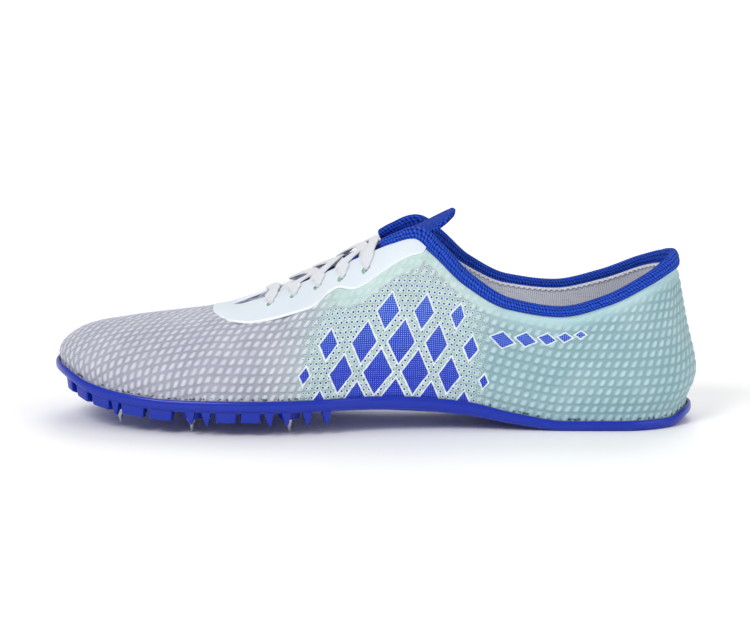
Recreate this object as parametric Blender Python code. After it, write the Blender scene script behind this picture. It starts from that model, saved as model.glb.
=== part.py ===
"""Track spike shoe for the left foot, standing unbent and empty on its spikes and heel.

Axes: +X runs from heel to toe, +Y to the shoe's left, which is its outer side, +Z up.
The floor is at z = 0. The model is worked out from the back of the heel and then
moved so that its bounding box is centred over the origin.
"""
import math

import bmesh
import bpy
import numpy as np
from mathutils import Matrix, Vector

MM = 0.001

# Driving sizes, in metres
LENGTH = 275 * MM
BALL_WIDTH = 92 * MM
INSTEP_HEIGHT = 84 * MM
CLEAR = 0.3 * MM

UPPER_WALL = 2.0 * MM
UPPER_BULGE = 3.2 * MM
FULLNESS = 1.18
MEDIAL_RISE = 3.0 * MM

SOLE_WALL = 5.0 * MM
LIP_WIDTH = 1.8 * MM
LIP_DEPTH = 2.6 * MM
WALL_STEP = 1.0 * MM
LUG_HEIGHT = 4.3 * MM
LUG_DEPTH = 5.0 * MM
TOOTH_HEIGHT = 5.2 * MM
SINK = 1.0 * MM
RIB_HEIGHT = 1.6 * MM
RIB_WIDTH = 3.2 * MM

BOSS_RADIUS = 5.2 * MM
BOSS_HEIGHT = 4.0 * MM
SPIKE_INSET = 11.0 * MM
SPIKE_HEX = 4.4 * MM
SPIKE_HEX_HEIGHT = 1.8 * MM
SPIKE_CONE_RADIUS = 1.35 * MM
SPIKE_CONE_HEIGHT = 4.6 * MM
SPIKE_TIP_RADIUS = 0.35 * MM

INSOLE_THICKNESS = 2.8 * MM
INSOLE_GAP = 0.8 * MM
INSOLE_BEVEL = 0.8 * MM

BAND_WIDTH = 6.5 * MM
BAND_THICKNESS = 3.8 * MM
BAND_LACE_GAP = 3.0 * MM

TONGUE_THICKNESS = 2.4 * MM
TONGUE_LAP = 9.0 * MM
TONGUE_INSET = 3.8 * MM
TONGUE_FLAP = 16.0 * MM

FILM_THICKNESS = 0.9 * MM
FILM_WIDTH = 26.0 * MM
FILM_GAP = 0.45 * MM

LACE_ROWS = 5
LACE_PITCH = 11.5 * MM
LACE_FIRST = 21.0 * MM
LACE_WIDTH = 5.0 * MM
LACE_THICKNESS = 1.1 * MM
EYELET_INSET = 11.0 * MM
EYELET_LENGTH = 5.6 * MM
EYELET_WIDTH = 2.2 * MM

# Worked out from the driving sizes
HALF_BALL = BALL_WIDTH / 2
STAND = BOSS_HEIGHT + SPIKE_HEX_HEIGHT + SPIKE_CONE_HEIGHT
HEEL_CAP = 0.115
TOE_CAP = 0.25
TOE_POWER = 2.2
SIDES = (1, -1)


class Table:
    """A short table with named columns, read by a smooth monotone cubic.

    The first column is the key. An even column is mirrored about both ends of
    the key, so that it crosses the heel and the toe without a crease, and an
    odd column changes its sign there.
    """

    def __init__(self, names, rows, odd=()):
        values = np.array(rows, dtype=float)
        self.key = values[:, 0]
        self.columns = {name: values[:, i] for i, name in enumerate(names.split()) if i}
        self.odd = odd

    def read(self, name, at):
        column = self.columns[name]
        sign = -1 if name in self.odd else 1
        first, last = self.key[0], self.key[-1]
        key = np.concatenate((2 * first - self.key[:0:-1], self.key, 2 * last - self.key[-2::-1]))
        value = np.concatenate((sign * column[:0:-1], column, sign * column[-2::-1]))
        return monotone_cubic(key, value, np.asarray(at, dtype=float))


def monotone_cubic(key, value, at):
    """Fritsch-Carlson cubic through the points: it has no overshoot between them."""
    width = np.diff(key)
    slope = np.diff(value) / width
    before, after = slope[:-1], slope[1:]
    same = before * after > 0
    weight_a, weight_b = 2 * width[1:] + width[:-1], width[1:] + 2 * width[:-1]
    safe_a, safe_b = np.where(same, before, 1.0), np.where(same, after, 1.0)
    inner = np.where(same, (weight_a + weight_b) / (weight_a / safe_a + weight_b / safe_b), 0.0)
    tangent = np.concatenate(([slope[0]], inner, [slope[-1]]))
    cell = np.clip(np.searchsorted(key, at, side="right") - 1, 0, len(width) - 1)
    t = (at - key[cell]) / width[cell]
    start, end = value[cell], value[cell + 1]
    lean_a, lean_b = tangent[cell] * width[cell], tangent[cell + 1] * width[cell]
    return ((1 + 2 * t) * (1 - t) ** 2 * start + t * (1 - t) ** 2 * lean_a
            + t * t * (3 - 2 * t) * end + t * t * (t - 1) * lean_b)


# Outline of the sole. along is a share of LENGTH; centre and half are shares of HALF_BALL.
OUTLINE = Table("along centre half", [
    (0.00, 0.00, 0.65),
    (0.12, 0.00, 0.67),
    (0.25, 0.03, 0.63),
    (0.38, 0.09, 0.57),
    (0.48, 0.12, 0.61),
    (0.58, 0.10, 0.79),
    (0.67, 0.04, 0.94),
    (0.74, -0.02, 0.98),
    (0.84, -0.10, 0.97),
    (0.92, -0.14, 0.96),
    (1.00, -0.17, 0.96)])

# Side view of the sole. under is its underside's height as a share of STAND,
# wall the height of its side wall as a share of SOLE_WALL.
SOLE = Table("along under wall", [
    (0.00, 0.32, 0.92),
    (0.04, 0.00, 0.88),
    (0.20, 0.00, 0.86),
    (0.28, 0.26, 1.00),
    (0.36, 0.66, 1.20),
    (0.46, 0.92, 1.20),
    (0.58, 1.00, 1.04),
    (0.81, 1.00, 1.00),
    (0.88, 1.14, 0.98),
    (0.94, 1.44, 0.94),
    (1.00, 2.02, 0.90)])

# Top line of the upper: collar, throat edge, then the ridge of vamp and toe.
# station runs from 0 at the back of the heel to 1 at the tip of the toe.
# reach is a share of LENGTH, middle and gap of HALF_BALL, rise of INSTEP_HEIGHT,
# turn is the angle in degrees through which the wall has leant over there.
TOPLINE = Table("station reach middle gap rise turn bulge", [
    (0.000, 0.026, 0.000, 0.000, 0.800, 34, 1.75),
    (0.110, 0.038, 0.000, 0.235, 0.792, 34, 1.55),
    (0.183, 0.075, 0.000, 0.450, 0.738, 36, 1.10),
    (0.253, 0.138, 0.000, 0.548, 0.646, 38, 0.75),
    (0.311, 0.211, 0.000, 0.582, 0.592, 40, 0.40),
    (0.369, 0.291, 0.000, 0.560, 0.628, 44, 0.45),
    (0.416, 0.358, -0.005, 0.488, 0.745, 52, 0.55),
    (0.449, 0.407, -0.015, 0.392, 0.890, 59, 0.60),
    (0.472, 0.436, -0.020, 0.325, 0.958, 64, 0.65),
    (0.500, 0.468, -0.025, 0.295, 0.928, 68, 0.70),
    (0.538, 0.524, -0.040, 0.272, 0.846, 71, 0.80),
    (0.577, 0.582, -0.050, 0.250, 0.756, 74, 0.90),
    (0.617, 0.647, -0.062, 0.207, 0.662, 79, 0.95),
    (0.641, 0.689, -0.070, 0.155, 0.610, 83, 0.95),
    (0.659, 0.713, -0.075, 0.082, 0.585, 87, 0.95),
    (0.670, 0.720, -0.080, 0.000, 0.578, 90, 0.95),
    (0.705, 0.749, -0.092, 0.000, 0.560, 90, 0.95),
    (0.756, 0.791, -0.110, 0.000, 0.540, 90, 0.90),
    (0.817, 0.839, -0.130, 0.000, 0.520, 90, 0.80),
    (0.872, 0.868, -0.145, 0.000, 0.505, 90, 0.65),
    (1.000, 0.890, -0.160, 0.000, 0.495, 90, 0.50)], odd=("gap",))

CORNER = 0.472
THROAT_END = 0.670
TONGUE_TUCK = 0.06

# Width of the collar band as a share of BAND_WIDTH
BAND = Table("station width", [
    (0.000, 1.00),
    (0.080, 0.92),
    (0.183, 0.62),
    (0.311, 0.52),
    (0.416, 0.70),
    (0.472, 0.95),
    (0.700, 0.86)])

# Width of the eyestay film from the throat edge, as a share of FILM_WIDTH
FILM = Table("station width", [
    (0.459, 0.14),
    (0.466, 0.27),
    (0.475, 0.36),
    (0.490, 0.47),
    (0.503, 0.60),
    (0.517, 0.74),
    (0.527, 0.77),
    (0.537, 0.71),
    (0.547, 0.63),
    (0.556, 0.69),
    (0.564, 0.86),
    (0.573, 0.92),
    (0.600, 0.91),
    (0.641, 0.82),
    (0.659, 0.70),
    (0.680, 0.50),
    (0.698, 0.27),
    (0.706, 0.12)])

# Lugs along one edge of the forefoot. along and length are shares of LENGTH.
LUGS = [
    dict(along=0.978, length=0.016, kind="block"),
    dict(along=0.956, length=0.026, kind="block"),
    dict(along=0.925, length=0.034, kind="block"),
    dict(along=0.901, length=0.016, kind="tooth"),
    dict(along=0.873, length=0.040, kind="block"),
    dict(along=0.829, length=0.040, kind="block"),
    dict(along=0.782, length=0.018, kind="tooth"),
    dict(along=0.757, length=0.018, kind="tooth"),
    dict(along=0.726, length=0.034, kind="block"),
    dict(along=0.687, length=0.032, kind="block"),
    dict(along=0.659, length=0.018, kind="tooth"),
    dict(along=0.632, length=0.018, kind="tooth"),
    dict(along=0.600, length=0.018, kind="tooth"),
    dict(along=0.570, length=0.018, kind="tooth")]

# Inner teeth under the forefoot: along is a share of LENGTH, across of the half width there.
INNER_TEETH = [
    dict(along=0.860, across=0.30),
    dict(along=0.860, across=-0.30),
    dict(along=0.800, across=0.00),
    dict(along=0.745, across=0.42),
    dict(along=0.745, across=-0.42),
    dict(along=0.715, across=0.00),
    dict(along=0.655, across=0.36),
    dict(along=0.655, across=-0.36),
    dict(along=0.610, across=0.00)]

# Spikes: along is a share of LENGTH, side is 1 outer, -1 inner, 0 in the middle of the toe.
SPIKES = [
    dict(along=0.913, side=1),
    dict(along=0.789, side=1),
    dict(along=0.622, side=1),
    dict(along=0.925, side=-1),
    dict(along=0.806, side=-1),
    dict(along=0.650, side=-1),
    dict(along=0.958, side=0)]

# Ribs under the midfoot, which frame a long panel on each side of the middle.
# along is a share of LENGTH, the others are places across as shares of HALF_BALL.
RIBS = Table("along outer_edge outer_middle inner_middle inner_edge", [
    (0.275, 0.165, 0.095, 0.025, -0.045),
    (0.330, 0.350, 0.140, 0.005, -0.160),
    (0.400, 0.460, 0.165, 0.000, -0.230),
    (0.470, 0.520, 0.170, -0.010, -0.270),
    (0.530, 0.520, 0.155, -0.030, -0.300),
    (0.590, 0.330, 0.110, -0.060, -0.230)])

# Stations of the columns round the shoe, closer where the top line turns
STATIONS = np.concatenate((
    np.linspace(0.0, 0.40, 13)[:-1],
    np.linspace(0.40, 0.50, 8)[:-1],
    np.linspace(0.50, 0.62, 6)[:-1],
    np.linspace(0.62, THROAT_END, 6)[:-1],
    np.linspace(THROAT_END, 1.0, 12)))
ROWS = np.linspace(0.0, 1.0, 11) ** 1.1


def along_of(station):
    """Share of the length at a station: half of one minus the cosine of half a turn."""
    return (1 - np.cos(np.pi * np.asarray(station))) / 2


def outline(station, side):
    """Edge of the sole: centre line plus or minus half width, closed by a round heel
    and a toe that follows a superellipse."""
    along = along_of(station)
    heel = np.clip((HEEL_CAP - along) / HEEL_CAP, 0, 1)
    toe = np.clip((along - 1 + TOE_CAP) / TOE_CAP, 0, 1)
    cap = np.sqrt(1 - heel ** 2) * (1 - toe ** TOE_POWER) ** (1 / TOE_POWER)
    y = OUTLINE.read("centre", along) + side * OUTLINE.read("half", along) * cap
    return np.stack((along * LENGTH, y * HALF_BALL), axis=-1)


def edge(station, side, inset):
    """Point of the outline moved inwards by inset, square to the edge."""
    step = 1e-4
    station = np.asarray(station, dtype=float)
    tangent = outline_round(station + step, side) - outline_round(station - step, side)
    tangent /= np.linalg.norm(tangent, axis=-1, keepdims=True)
    outward = np.stack((-tangent[..., 1], tangent[..., 0]), axis=-1) * side[..., None]
    return outline(station, side) - outward * inset


def outline_round(station, side):
    """The outline, followed past the heel or the toe on to the other side."""
    over = np.where(station > 1, 2 - station, np.abs(station))
    turned = np.where((station > 1) | (station < 0), -side, side)
    return outline(over, turned)


def underside(x):
    return SOLE.read("under", np.clip(x / LENGTH, 0, 1)) * STAND


def sole_top(x):
    return underside(x) + SOLE.read("wall", np.clip(x / LENGTH, 0, 1)) * SOLE_WALL


def floor_height(x):
    return sole_top(x) - LIP_DEPTH


def feather(station, side):
    """Foot of the upper's wall, standing just inside the sole's lip."""
    xy = edge(station, side, LIP_WIDTH + CLEAR)
    return np.concatenate((xy, (floor_height(xy[..., 0]) + CLEAR)[..., None]), axis=-1)


def top_point(station, side):
    middle = TOPLINE.read("middle", station) * HALF_BALL
    gap = TOPLINE.read("gap", station) * HALF_BALL
    inner = np.clip(np.sin((station - 0.12) / 0.34 * np.pi), 0, 1) * (station < 0.46)
    rise = TOPLINE.read("rise", station) * INSTEP_HEIGHT + np.where(side < 0, inner * MEDIAL_RISE, 0)
    return np.stack((TOPLINE.read("reach", station) * LENGTH, middle + side * gap, rise), axis=-1)


def upper(station, side, row):
    """Outer face of the upper. Each column is an arc of an ellipse from the foot of
    the wall to the top line, upright at its foot, with a soft bulge above the lip."""
    station, side, row = np.broadcast_arrays(*(np.asarray(a, dtype=float) for a in (station, side, row)))
    foot, top = feather(station, side), top_point(station, side)
    turn = np.radians(TOPLINE.read("turn", station))
    across = ((1 - np.cos(turn * row)) / (1 - np.cos(turn))) ** FULLNESS
    upward = np.sin(turn * row) / np.sin(turn)
    swell = np.clip((row - 0.07) / 0.24, 0, None)
    swell = (1 - row) * (swell * np.exp(1 - swell)) ** 2 * TOPLINE.read("bulge", station) * UPPER_BULGE
    outward = edge(station, side, 0.0) - edge(station, side, 1.0)
    flat = foot[..., :2] + (top - foot)[..., :2] * across[..., None] + outward * swell[..., None]
    z = foot[..., 2] + (top - foot)[..., 2] * upward
    return np.concatenate((flat, z[..., None]), axis=-1)


def instep_line(station):
    """One line across the instep, from the inner foot of the wall over the throat to
    the outer one, with the distance of its points from the middle."""
    row = np.linspace(0.0, 1.0, 25)
    outer, inner = upper(station, 1, row), upper(station, -1, row)
    span = outer[-1] - inner[-1]
    reach = np.linalg.norm(span)
    leave = inner[-1] - inner[-2]
    arrive = outer[-2] - outer[-1]
    leave, arrive = leave / np.linalg.norm(leave) * reach, arrive / np.linalg.norm(arrive) * reach
    t = np.linspace(0.0, 1.0, 9)[1:-1, None]
    bridge = ((1 + 2 * t) * (1 - t) ** 2 * inner[-1] + t * (1 - t) ** 2 * leave
              + t * t * (3 - 2 * t) * outer[-1] + t * t * (t - 1) * arrive)
    points = np.concatenate((inner, bridge, outer[::-1]))
    steps = np.linalg.norm(np.diff(points, axis=0), axis=1) + 1e-9
    distance = np.concatenate(([0.0], np.cumsum(steps)))
    left, right = distance[len(inner) - 1], distance[-len(outer)]
    return points, distance - (left + right) / 2, (right - left) / 2


def instep(station, across):
    """Point of the instep at a station and a distance from the middle of the throat."""
    points, distance, _ = instep_line(station)
    return np.array([np.interp(across, distance, points[:, i]) for i in range(3)])


def instep_frame(station, across):
    """Point, outward normal and forward direction of the instep."""
    step_a, step_b = 0.004, 0.5 * MM
    forward = instep(station + step_a, across) - instep(station - step_a, across)
    sideways = instep(station, across + step_b) - instep(station, across - step_b)
    forward /= np.linalg.norm(forward)
    normal = np.cross(forward, sideways)
    normal /= np.linalg.norm(normal)
    return instep(station, across), normal, np.cross(sideways, normal) / np.linalg.norm(sideways)


def throat_station(distance):
    """Station at a distance down the throat edge from the corner of the collar."""
    dense = np.linspace(CORNER, THROAT_END, 120)
    points = top_point(dense, np.ones_like(dense))
    run = np.concatenate(([0.0], np.cumsum(np.linalg.norm(np.diff(points, axis=0), axis=1))))
    return float(np.interp(distance, run, dense))


def material(name, colour, roughness, metallic=0.0):
    finish = bpy.data.materials.new(name)
    finish.use_nodes = True
    shader = finish.node_tree.nodes["Principled BSDF"]
    shader.inputs["Base Color"].default_value = (*colour, 1.0)
    shader.inputs["Roughness"].default_value = roughness
    shader.inputs["Metallic"].default_value = metallic
    return finish


def add_object(name, mesh, finish, sharp=math.radians(38)):
    mesh.shade_smooth()
    mesh.set_sharp_from_angle(angle=sharp)
    mesh.materials.append(finish)
    thing = bpy.data.objects.new(name, mesh)
    bpy.context.scene.collection.objects.link(thing)
    return thing


def mesh_of(name, points, faces):
    mesh = bpy.data.meshes.new(name)
    mesh.from_pydata(np.asarray(points).tolist(), [], faces)
    shape = bmesh.new()
    shape.from_mesh(mesh)
    bmesh.ops.remove_doubles(shape, verts=shape.verts, dist=1e-7)
    bmesh.ops.recalc_face_normals(shape, faces=shape.faces)
    shape.to_mesh(mesh)
    shape.free()
    return mesh


def thicken(outer, inner, faces):
    """Closed solid between two layers of the same faces, with a rim on every open edge."""
    count = len(outer)
    used = {}
    for face in faces:
        for a, b in zip(face, face[1:] + face[:1]):
            used[(a, b)] = used.get((b, a), 0) - 1 if (b, a) in used else 1
            if (b, a) in used:
                del used[(a, b)], used[(b, a)]
    rims = [[b, a, a + count, b + count] for a, b in used]
    back = [[i + count for i in reversed(face)] for face in faces]
    return np.concatenate((outer, inner)), faces + back + rims


def half_faces(columns, rows, index):
    """Quads of a sheet over columns and rows of vertex numbers, without collapsed ones."""
    faces = []
    for i in range(columns - 1):
        for j in range(rows - 1):
            face = [index(i, j), index(i + 1, j), index(i + 1, j + 1), index(i, j + 1)]
            faces.append([v for k, v in enumerate(face) if v != face[k - 1]])
    return faces


def grid_normals(grid, closed):
    """Outward normals of a grid of columns and rows, from differences of neighbours."""
    if closed:
        along = np.roll(grid, -1, axis=0) - np.roll(grid, 1, axis=0)
    else:
        along = np.gradient(grid, axis=0)
    up = np.gradient(grid, axis=1)
    normal = np.cross(along, up)
    length = np.linalg.norm(normal, axis=-1, keepdims=True)
    return normal / np.where(length > 0, length, 1.0)


def ring_order():
    """Stations and sides of the columns in one loop: heel, outer side, toe, inner side."""
    station = np.concatenate((STATIONS, STATIONS[-2:0:-1]))
    side = np.concatenate((np.ones(len(STATIONS)), -np.ones(len(STATIONS) - 2)))
    return station, side


def make_upper(finish):
    """Knitted shell: a loop of columns whose outer and inner sides meet on the ridge."""
    station, side = ring_order()
    count, rows = len(station), len(ROWS)
    outer = upper(station[:, None], side[:, None], ROWS[None, :])
    normal = -grid_normals(outer, closed=True)
    number = np.arange(count * rows).reshape(count, rows)
    for i in range(1, len(STATIONS) - 1):
        if STATIONS[i] >= THROAT_END - 1e-9:
            number[count - i, -1] = number[i, -1]
            both = normal[i, -1] + normal[count - i, -1]
            normal[i, -1] = both / np.linalg.norm(both)
    middle = len(STATIONS) - 1
    normal[middle, -1] = normal[middle - 1, -1]
    inner = outer - normal * UPPER_WALL
    inner[:, 0, 2] = floor_height(inner[:, 0, 0]) + CLEAR
    faces = half_faces(count + 1, rows, lambda i, j: int(number[i % count, j]))
    kept = sorted({v for face in faces for v in face})
    renumber = {v: k for k, v in enumerate(kept)}
    faces = [[renumber[v] for v in face] for face in faces]
    points, faces = thicken(outer.reshape(-1, 3)[kept], inner.reshape(-1, 3)[kept], faces)
    return add_object("upper", mesh_of("upper", points, faces), finish)


def ring_solid(rings):
    """Points and faces of a solid built from rings round the outline, each an inset and a
    height as a function of x, with the first and the last ring closed by strips across."""
    station, side = ring_order()
    count, half = len(station), len(STATIONS)
    levels = []
    for inset, height in rings:
        xy = edge(station, side, inset)
        levels.append(np.concatenate((xy, height(xy[:, 0])[:, None]), axis=1))
    faces = []
    for level in range(len(rings) - 1):
        for i in range(count):
            j = (i + 1) % count
            low, high = level * count, (level + 1) * count
            faces.append([low + i, low + j, high + j, high + i])
    for level in (0, len(rings) - 1):
        for i in range(half - 1):
            strip = [level * count + k for k in (i, i + 1, (count - i - 1) % count, (count - i) % count)]
            faces.append([v for k, v in enumerate(strip) if v != strip[k - 1]])
    return np.concatenate(levels), faces


def make_plate(finish):
    """Sole unit: floor, lip and rounded side wall, down to the step above the lugs."""
    def wall(share):
        return lambda x: underside(x) + share * (sole_top(x) - underside(x))

    rings = [
        (LIP_WIDTH, floor_height),
        (LIP_WIDTH * 0.86, lambda x: sole_top(x) - 0.12 * LIP_DEPTH),
        (LIP_WIDTH * 0.45, wall(1.0)),
        (LIP_WIDTH * 0.08, wall(0.78)),
        (0.0, wall(0.5)),
        (WALL_STEP * 0.35, wall(0.16)),
        (WALL_STEP * 1.4, underside)]
    return add_object("outsole", mesh_of("outsole", *ring_solid(rings)), finish)


def station_at(along):
    return float(np.arccos(1 - 2 * along) / np.pi)


def prism_between(top, bottom):
    """Points and faces of a solid between two four-cornered outlines."""
    faces = [[0, 1, 2, 3], [7, 6, 5, 4]] + [[i, i + 4, (i + 1) % 4 + 4, (i + 1) % 4] for i in range(4)]
    return np.concatenate((top, bottom)), faces


def lug_block(along, side, length, kind):
    """Edge lug: a block with one raked end, or a tooth with a raked end and a narrow tip."""
    station = station_at(along)
    sides = np.array(float(side))
    place = edge(station, sides, WALL_STEP)
    outward = place - edge(station, sides, WALL_STEP + 1.0)
    forward = np.array([outward[1], -outward[0]]) * side
    tooth = kind == "tooth"
    height = TOOTH_HEIGHT if tooth else LUG_HEIGHT
    tip_front, tip_back = (0.06, -0.18) if tooth else (0.48, -0.42)
    depth, tip_depth = (LUG_DEPTH * 0.8, LUG_DEPTH * 0.2) if tooth else (LUG_DEPTH, LUG_DEPTH * 0.62)

    def corners(front, back, near, far, level):
        flat = [place + forward * front * length - outward * near,
                place + forward * back * length - outward * near,
                place + forward * back * length - outward * far,
                place + forward * front * length - outward * far]
        return np.array([[p[0], p[1], underside(p[0]) + level] for p in flat])

    top = corners(0.5, -0.5, 0.0, depth, SINK)
    bottom = corners(tip_front, tip_back, 0.25 * tip_depth, tip_depth + 0.25 * depth, -height)
    return prism_between(top, bottom)


def joined(name, pieces):
    """One mesh from several separate closed pieces."""
    points, faces, offset = [], [], 0
    for piece_points, piece_faces in pieces:
        points.append(piece_points)
        faces += [[v + offset for v in face] for face in piece_faces]
        offset += len(piece_points)
    return mesh_of(name, np.concatenate(points), faces)


def make_tool(name, mesh):
    """A cutter or a filler: it shapes another object and isn't part of the shoe."""
    tool = bpy.data.objects.new(name, mesh)
    tool.hide_render = True
    tool.display_type = "WIRE"
    bpy.context.scene.collection.objects.link(tool)
    return tool


def combine(target, tool, operation):
    step = target.modifiers.new(tool.name, "BOOLEAN")
    step.operation = operation
    step.solver = "EXACT"
    step.object = tool


def turned_piece(centre, profile, sides, spin=0.0):
    """Round or many-sided piece about a vertical axis, from a profile of radius and height."""
    angle = np.arange(sides) / sides * 2 * np.pi + spin
    rings = []
    for radius, z in profile:
        x, y = centre[0] + radius * np.cos(angle), centre[1] + radius * np.sin(angle)
        rings.append(np.stack((x, y, np.full(sides, z)), axis=1))
    faces = [[*range(sides)], [*range(len(rings) * sides - 1, (len(rings) - 1) * sides - 1, -1)]]
    for level in range(len(rings) - 1):
        for i in range(sides):
            j = (i + 1) % sides
            low, high = level * sides, (level + 1) * sides
            faces.append([low + i, low + j, high + j, high + i])
    return np.concatenate(rings), faces


def sunk_piece(centre, radius, tip_radius, height, sides, spin=0.0):
    """Tapered piece under the sole, with its top sunk into the sloping underside."""
    level = float(underside(centre[0])) - height
    points, faces = turned_piece(centre, [(radius, level + height), (tip_radius, level)], sides, spin)
    points[:sides, 2] = underside(points[:sides, 0]) + SINK
    return points, faces


def spike_place(spec):
    side = np.array(float(spec["side"] or 1))
    along = spec["along"]
    if spec["side"]:
        x, y = edge(station_at(along), side, SPIKE_INSET)
    else:
        x, y = along * LENGTH, float(OUTLINE.read("centre", along)) * HALF_BALL
    return float(x), float(y), float(underside(x))


def rib(column):
    """Midfoot rib: a low ridge that follows a column of the rib table and fades out at both ends."""
    along = np.linspace(RIBS.key[0], RIBS.key[-1], 9)
    middle = RIBS.read(column, along) * HALF_BALL
    fade = np.sin(np.linspace(0.12, 0.88, len(along)) * np.pi)
    x = along * LENGTH
    z = underside(x)
    width, drop = RIB_WIDTH * (0.6 + 0.4 * fade), RIB_HEIGHT * fade
    rows = [(middle + width / 2, z + SINK), (middle + width / 4, z - drop),
            (middle - width / 4, z - drop), (middle - width / 2, z + SINK)]
    points = np.stack([np.stack((x, y, level), axis=1) for y, level in rows], axis=1).reshape(-1, 3)
    last = (len(along) - 1) * 4
    faces = [[0, 1, 2, 3], [last + 3, last + 2, last + 1, last]]
    for i in range(len(along) - 1):
        for j in range(4):
            k = (j + 1) % 4
            faces.append([i * 4 + j, (i + 1) * 4 + j, (i + 1) * 4 + k, i * 4 + k])
    return points, faces


def make_outsole(finish):
    plate = make_plate(finish)
    lugs = []
    for side in SIDES:
        lugs += [lug_block(lug["along"], side, lug["length"] * LENGTH, lug["kind"]) for lug in LUGS]
    for tooth in INNER_TEETH:
        x = tooth["along"] * LENGTH
        half = float(OUTLINE.read("half", tooth["along"])) * HALF_BALL
        y = float(OUTLINE.read("centre", tooth["along"])) * HALF_BALL + tooth["across"] * half
        lugs.append(sunk_piece((x, y), LUG_DEPTH * 0.62, LUG_DEPTH * 0.14, LUG_HEIGHT * 0.8, 4, math.pi / 4))
    bosses = []
    for spec in SPIKES:
        place = spike_place(spec)[:2]
        bosses.append(sunk_piece(place, BOSS_RADIUS, BOSS_RADIUS * 0.82, BOSS_HEIGHT, 12))
    ribs = [rib(column) for column in RIBS.columns]
    combine(plate, make_tool("lug_forms", joined("lug_forms", lugs)), "UNION")
    combine(plate, make_tool("boss_forms", joined("boss_forms", bosses)), "UNION")
    combine(plate, make_tool("rib_forms", joined("rib_forms", ribs)), "UNION")
    return plate


def make_spikes(finish):
    """Steel pins: a hexagon base under each boss and a slender cone with a blunt tip."""
    for number, spec in enumerate(SPIKES, start=1):
        x, y, z = spike_place(spec)
        seat = z - BOSS_HEIGHT - CLEAR
        shoulder = z - BOSS_HEIGHT - SPIKE_HEX_HEIGHT
        tip = shoulder - SPIKE_CONE_HEIGHT
        hexagon = turned_piece((x, y), [
            (SPIKE_HEX / 2, seat), (SPIKE_HEX / 2, shoulder + 0.3 * SPIKE_HEX_HEIGHT),
            (SPIKE_CONE_RADIUS * 1.15, shoulder), (SPIKE_CONE_RADIUS, shoulder - 0.06 * SPIKE_CONE_HEIGHT),
            (SPIKE_TIP_RADIUS, tip)], 6)
        add_object(f"spike_{number}", mesh_of(f"spike_{number}", *hexagon), finish, math.radians(20))


def make_insole(finish):
    inset = LIP_WIDTH + CLEAR + UPPER_WALL + INSOLE_GAP

    def lifted(share):
        return lambda x: floor_height(x) + 1.5 * CLEAR + share * INSOLE_THICKNESS

    rings = [(inset, lifted(0.0)), (inset, lifted(0.7)), (inset + INSOLE_BEVEL, lifted(1.0))]
    return add_object("insole", mesh_of("insole", *ring_solid(rings)), finish)


def topline_frame(station, side):
    """Edge of the upper with its outward normal and the direction that leads past the edge."""
    step = 2e-3
    point = upper(station, side, 1.0)
    up = point - upper(station, side, 1 - step)
    ahead, behind = station + step, np.abs(station - step)
    behind_side = np.where(station < step, -side, side)
    along = upper(ahead, side, 1.0) - upper(behind, behind_side, 1.0)
    along /= np.linalg.norm(along, axis=-1, keepdims=True)
    normal = np.cross(along, up) * -side[..., None]
    normal /= np.linalg.norm(normal, axis=-1, keepdims=True)
    past = np.cross(normal, along)
    past *= np.sign(np.sum(past * up, axis=-1, keepdims=True))
    return point, normal, past


def make_collar(finish):
    """Padded band past the edge of the upper, from one side of the throat round the heel."""
    end = throat_station(LACE_FIRST - LACE_WIDTH / 2 - BAND_LACE_GAP)
    station = np.concatenate((np.linspace(0, 0.40, 13)[:-1], np.linspace(0.40, end, 13)))
    side = np.concatenate((-np.ones(len(station) - 1), np.ones(len(station))))
    station = np.concatenate((station[:0:-1], station))
    point, normal, past = topline_frame(station, side)
    width = BAND.read("width", station) * BAND_WIDTH
    angle = (np.arange(8) + 0.5) / 8 * 2 * np.pi
    half_thick = BAND_THICKNESS / 2
    offset = half_thick - UPPER_WALL
    rings = []
    for a in angle:
        across = (np.cos(a) * 0.5 / math.cos(math.pi / 8) + 0.5) * width + CLEAR
        depth = np.sin(a) * half_thick / math.cos(math.pi / 8) + offset
        rings.append(point + past * across[:, None] + normal * depth)
    points = np.stack(rings, axis=1).reshape(-1, 3)
    last = (len(station) - 1) * 8
    faces = [[*range(8)], [*range(last + 7, last - 1, -1)]]
    for i in range(len(station) - 1):
        for j in range(8):
            k = (j + 1) % 8
            faces.append([i * 8 + j, (i + 1) * 8 + j, (i + 1) * 8 + k, i * 8 + k])
    return add_object("collar", mesh_of("collar", points, faces), finish, math.radians(60))


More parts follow.
